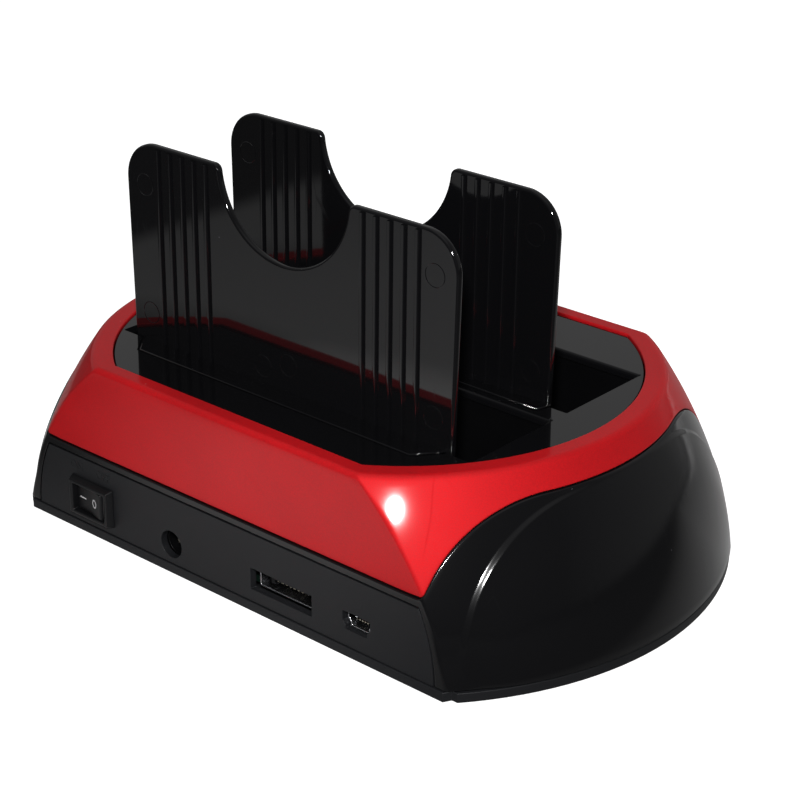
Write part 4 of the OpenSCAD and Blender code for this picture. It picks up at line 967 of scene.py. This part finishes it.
# an oval on the floor with soft edges
def patch(tree, where, name, inside, outside):
    aside = vector(tree, "SUBTRACT", where, stage[name + "Middle"])
    scaled = vector(tree, "MULTIPLY", aside, [1 / size for size in stage[name + "Size"]] + [0.0])
    return remap(tree, vector(tree, "LENGTH", scaled), inside, outside, 0.5, 1.3)


def floorFinish():
    material = bpy.data.materials.new("paleFloor")
    material.use_nodes = True
    tree = material.node_tree
    tree.nodes.clear()
    ray = addNode(tree, "ShaderNodeLightPath")
    where = addNode(tree, "ShaderNodeTexCoord").outputs["Object"]
    # painted shade: the floor is darker in an oval near the dock's rear left end
    lit = patch(tree, where, "shade", stage["shadeShare"], 1.0)
    # the table darkens past its left edge, towards the lens and, a little, beyond the dock
    for name, way, start, end in (("tableLeft", (1.0, 0.0, 0.0), 0.0, 1.0), ("tableNear", (1.1, -0.6, 0.0), 1.0, 0.0),
                                  ("tableBeyond", (0.0, 1.0, 0.0), 1.0, stage["beyondShare"])):
        along = vector(tree, "DOT_PRODUCT", where, way)
        lit = math(tree, "MULTIPLY", lit, remap(tree, along, start, end, *stage[name]))
    shade = remap(tree, lit, stage["farShade"], stage["tableShade"])
    table = addNode(tree, "ShaderNodeCombineColor", {0: shade, 1: shade, 2: shade})
    seen = stage["floorSeen"]
    # painted reflection: inside this oval the floor glows for reflections only, brightening what the red rear face
    # reflects
    shown = shownTo(tree, ray, patch(tree, where, "reflectGlow", stage["reflectGlowShare"], stage["glossShare"]))
    colour = mixColour(tree, shown, table.outputs[0], (seen, seen, seen, 1))
    cloth = addNode(tree, "ShaderNodeBsdfDiffuse", {"Color": colour})
    strength = math(tree, "MULTIPLY", shown, stage["floorGlow"])
    glow = addNode(tree, "ShaderNodeEmission", {"Color": (1, 1, 1, 1), "Strength": strength})
    both = addNode(tree, "ShaderNodeAddShader", {0: cloth.outputs[0], 1: glow.outputs[0]})
    addNode(tree, "ShaderNodeOutputMaterial", {"Surface": both.outputs[0]})
    return material


half = stage["floorSize"] / 2
floorMesh = bpy.data.meshes.new("paleFloor")
corners = ((-half, -half), (half, -half), (half, half), (-half, half))
floorMesh.from_pydata([(x, y, stage["floorZ"]) for x, y in corners], [], [(0, 1, 2, 3)])
floorMesh.materials.append(floorFinish())
floor = bpy.data.objects.new("paleFloor", floorMesh)
scene.collection.objects.link(floor)

world = bpy.data.worlds.new("studio")
scene.world = world
world.use_nodes = True
sky = world.node_tree
ray = addNode(sky, "ShaderNodeLightPath")
direction = addNode(sky, "ShaderNodeTexCoord").outputs["Generated"]
glossy = ray.outputs["Is Glossy Ray"]
ahead = vector(sky, "DOT_PRODUCT", direction, (-viewBack.x, -viewBack.y, 0.0))
level = remap(sky, ahead, stage["skyBefore"], stage["skyBehind"], *stage["skyEdge"])
level = math(sky, "MULTIPLY", level, remap(sky, glossy, stage["skyFill"], 1.0))
# soft glows that only reflections see: direction, start and end of the glow
skyGlows = {"skyAbove": ((0.0, 0.0, 1.0), 0.72, 0.98), "skyLeft": ((-1.0, 0.1, 0.25), 0.5, 1.0),
            "skyRight": ((0.5, 0.87, 0.0), 0.5, 1.0)}
for name, (towards, start, end) in skyGlows.items():
    along = vector(sky, "DOT_PRODUCT", direction, towards)
    glow = math(sky, "MULTIPLY", remap(sky, along, 0.0, stage[name], start, end), glossy)
    level = math(sky, "MAXIMUM", level, glow)
soft = addNode(sky, "ShaderNodeCombineColor", {0: level, 1: level, 2: level})
tone = mixColour(sky, shownTo(sky, ray, stage["glossShare"]), soft.outputs[0], (1, 1, 1, 1))
sky.links.new(tone, sky.nodes["Background"].inputs["Color"])


def addLight(name, kind, at, inReflections):
    lamp = bpy.data.lights.new(name, "AREA")
    lamp.energy, lamp.size, lamp.shape = stage[kind + "Watts"], stage[kind + "Size"], "DISK"
    light = bpy.data.objects.new(name, lamp)
    light.location = at
    light.rotation_euler = (Vector(stage[kind + "Aim"]) - Vector(at)).to_track_quat("-Z", "Y").to_euler()
    light.visible_glossy = inReflections
    scene.collection.objects.link(light)


flashAt = cameraPlace - viewRight * stage["flashLeft"] + viewUp * stage["flashUp"]
addLight("lensLight", "flash", flashAt, True)
addLight("topLight", "top", stage["topAt"], False)
addLight("frontFill", "fill", stage["fillAt"], False)
print("stage set")
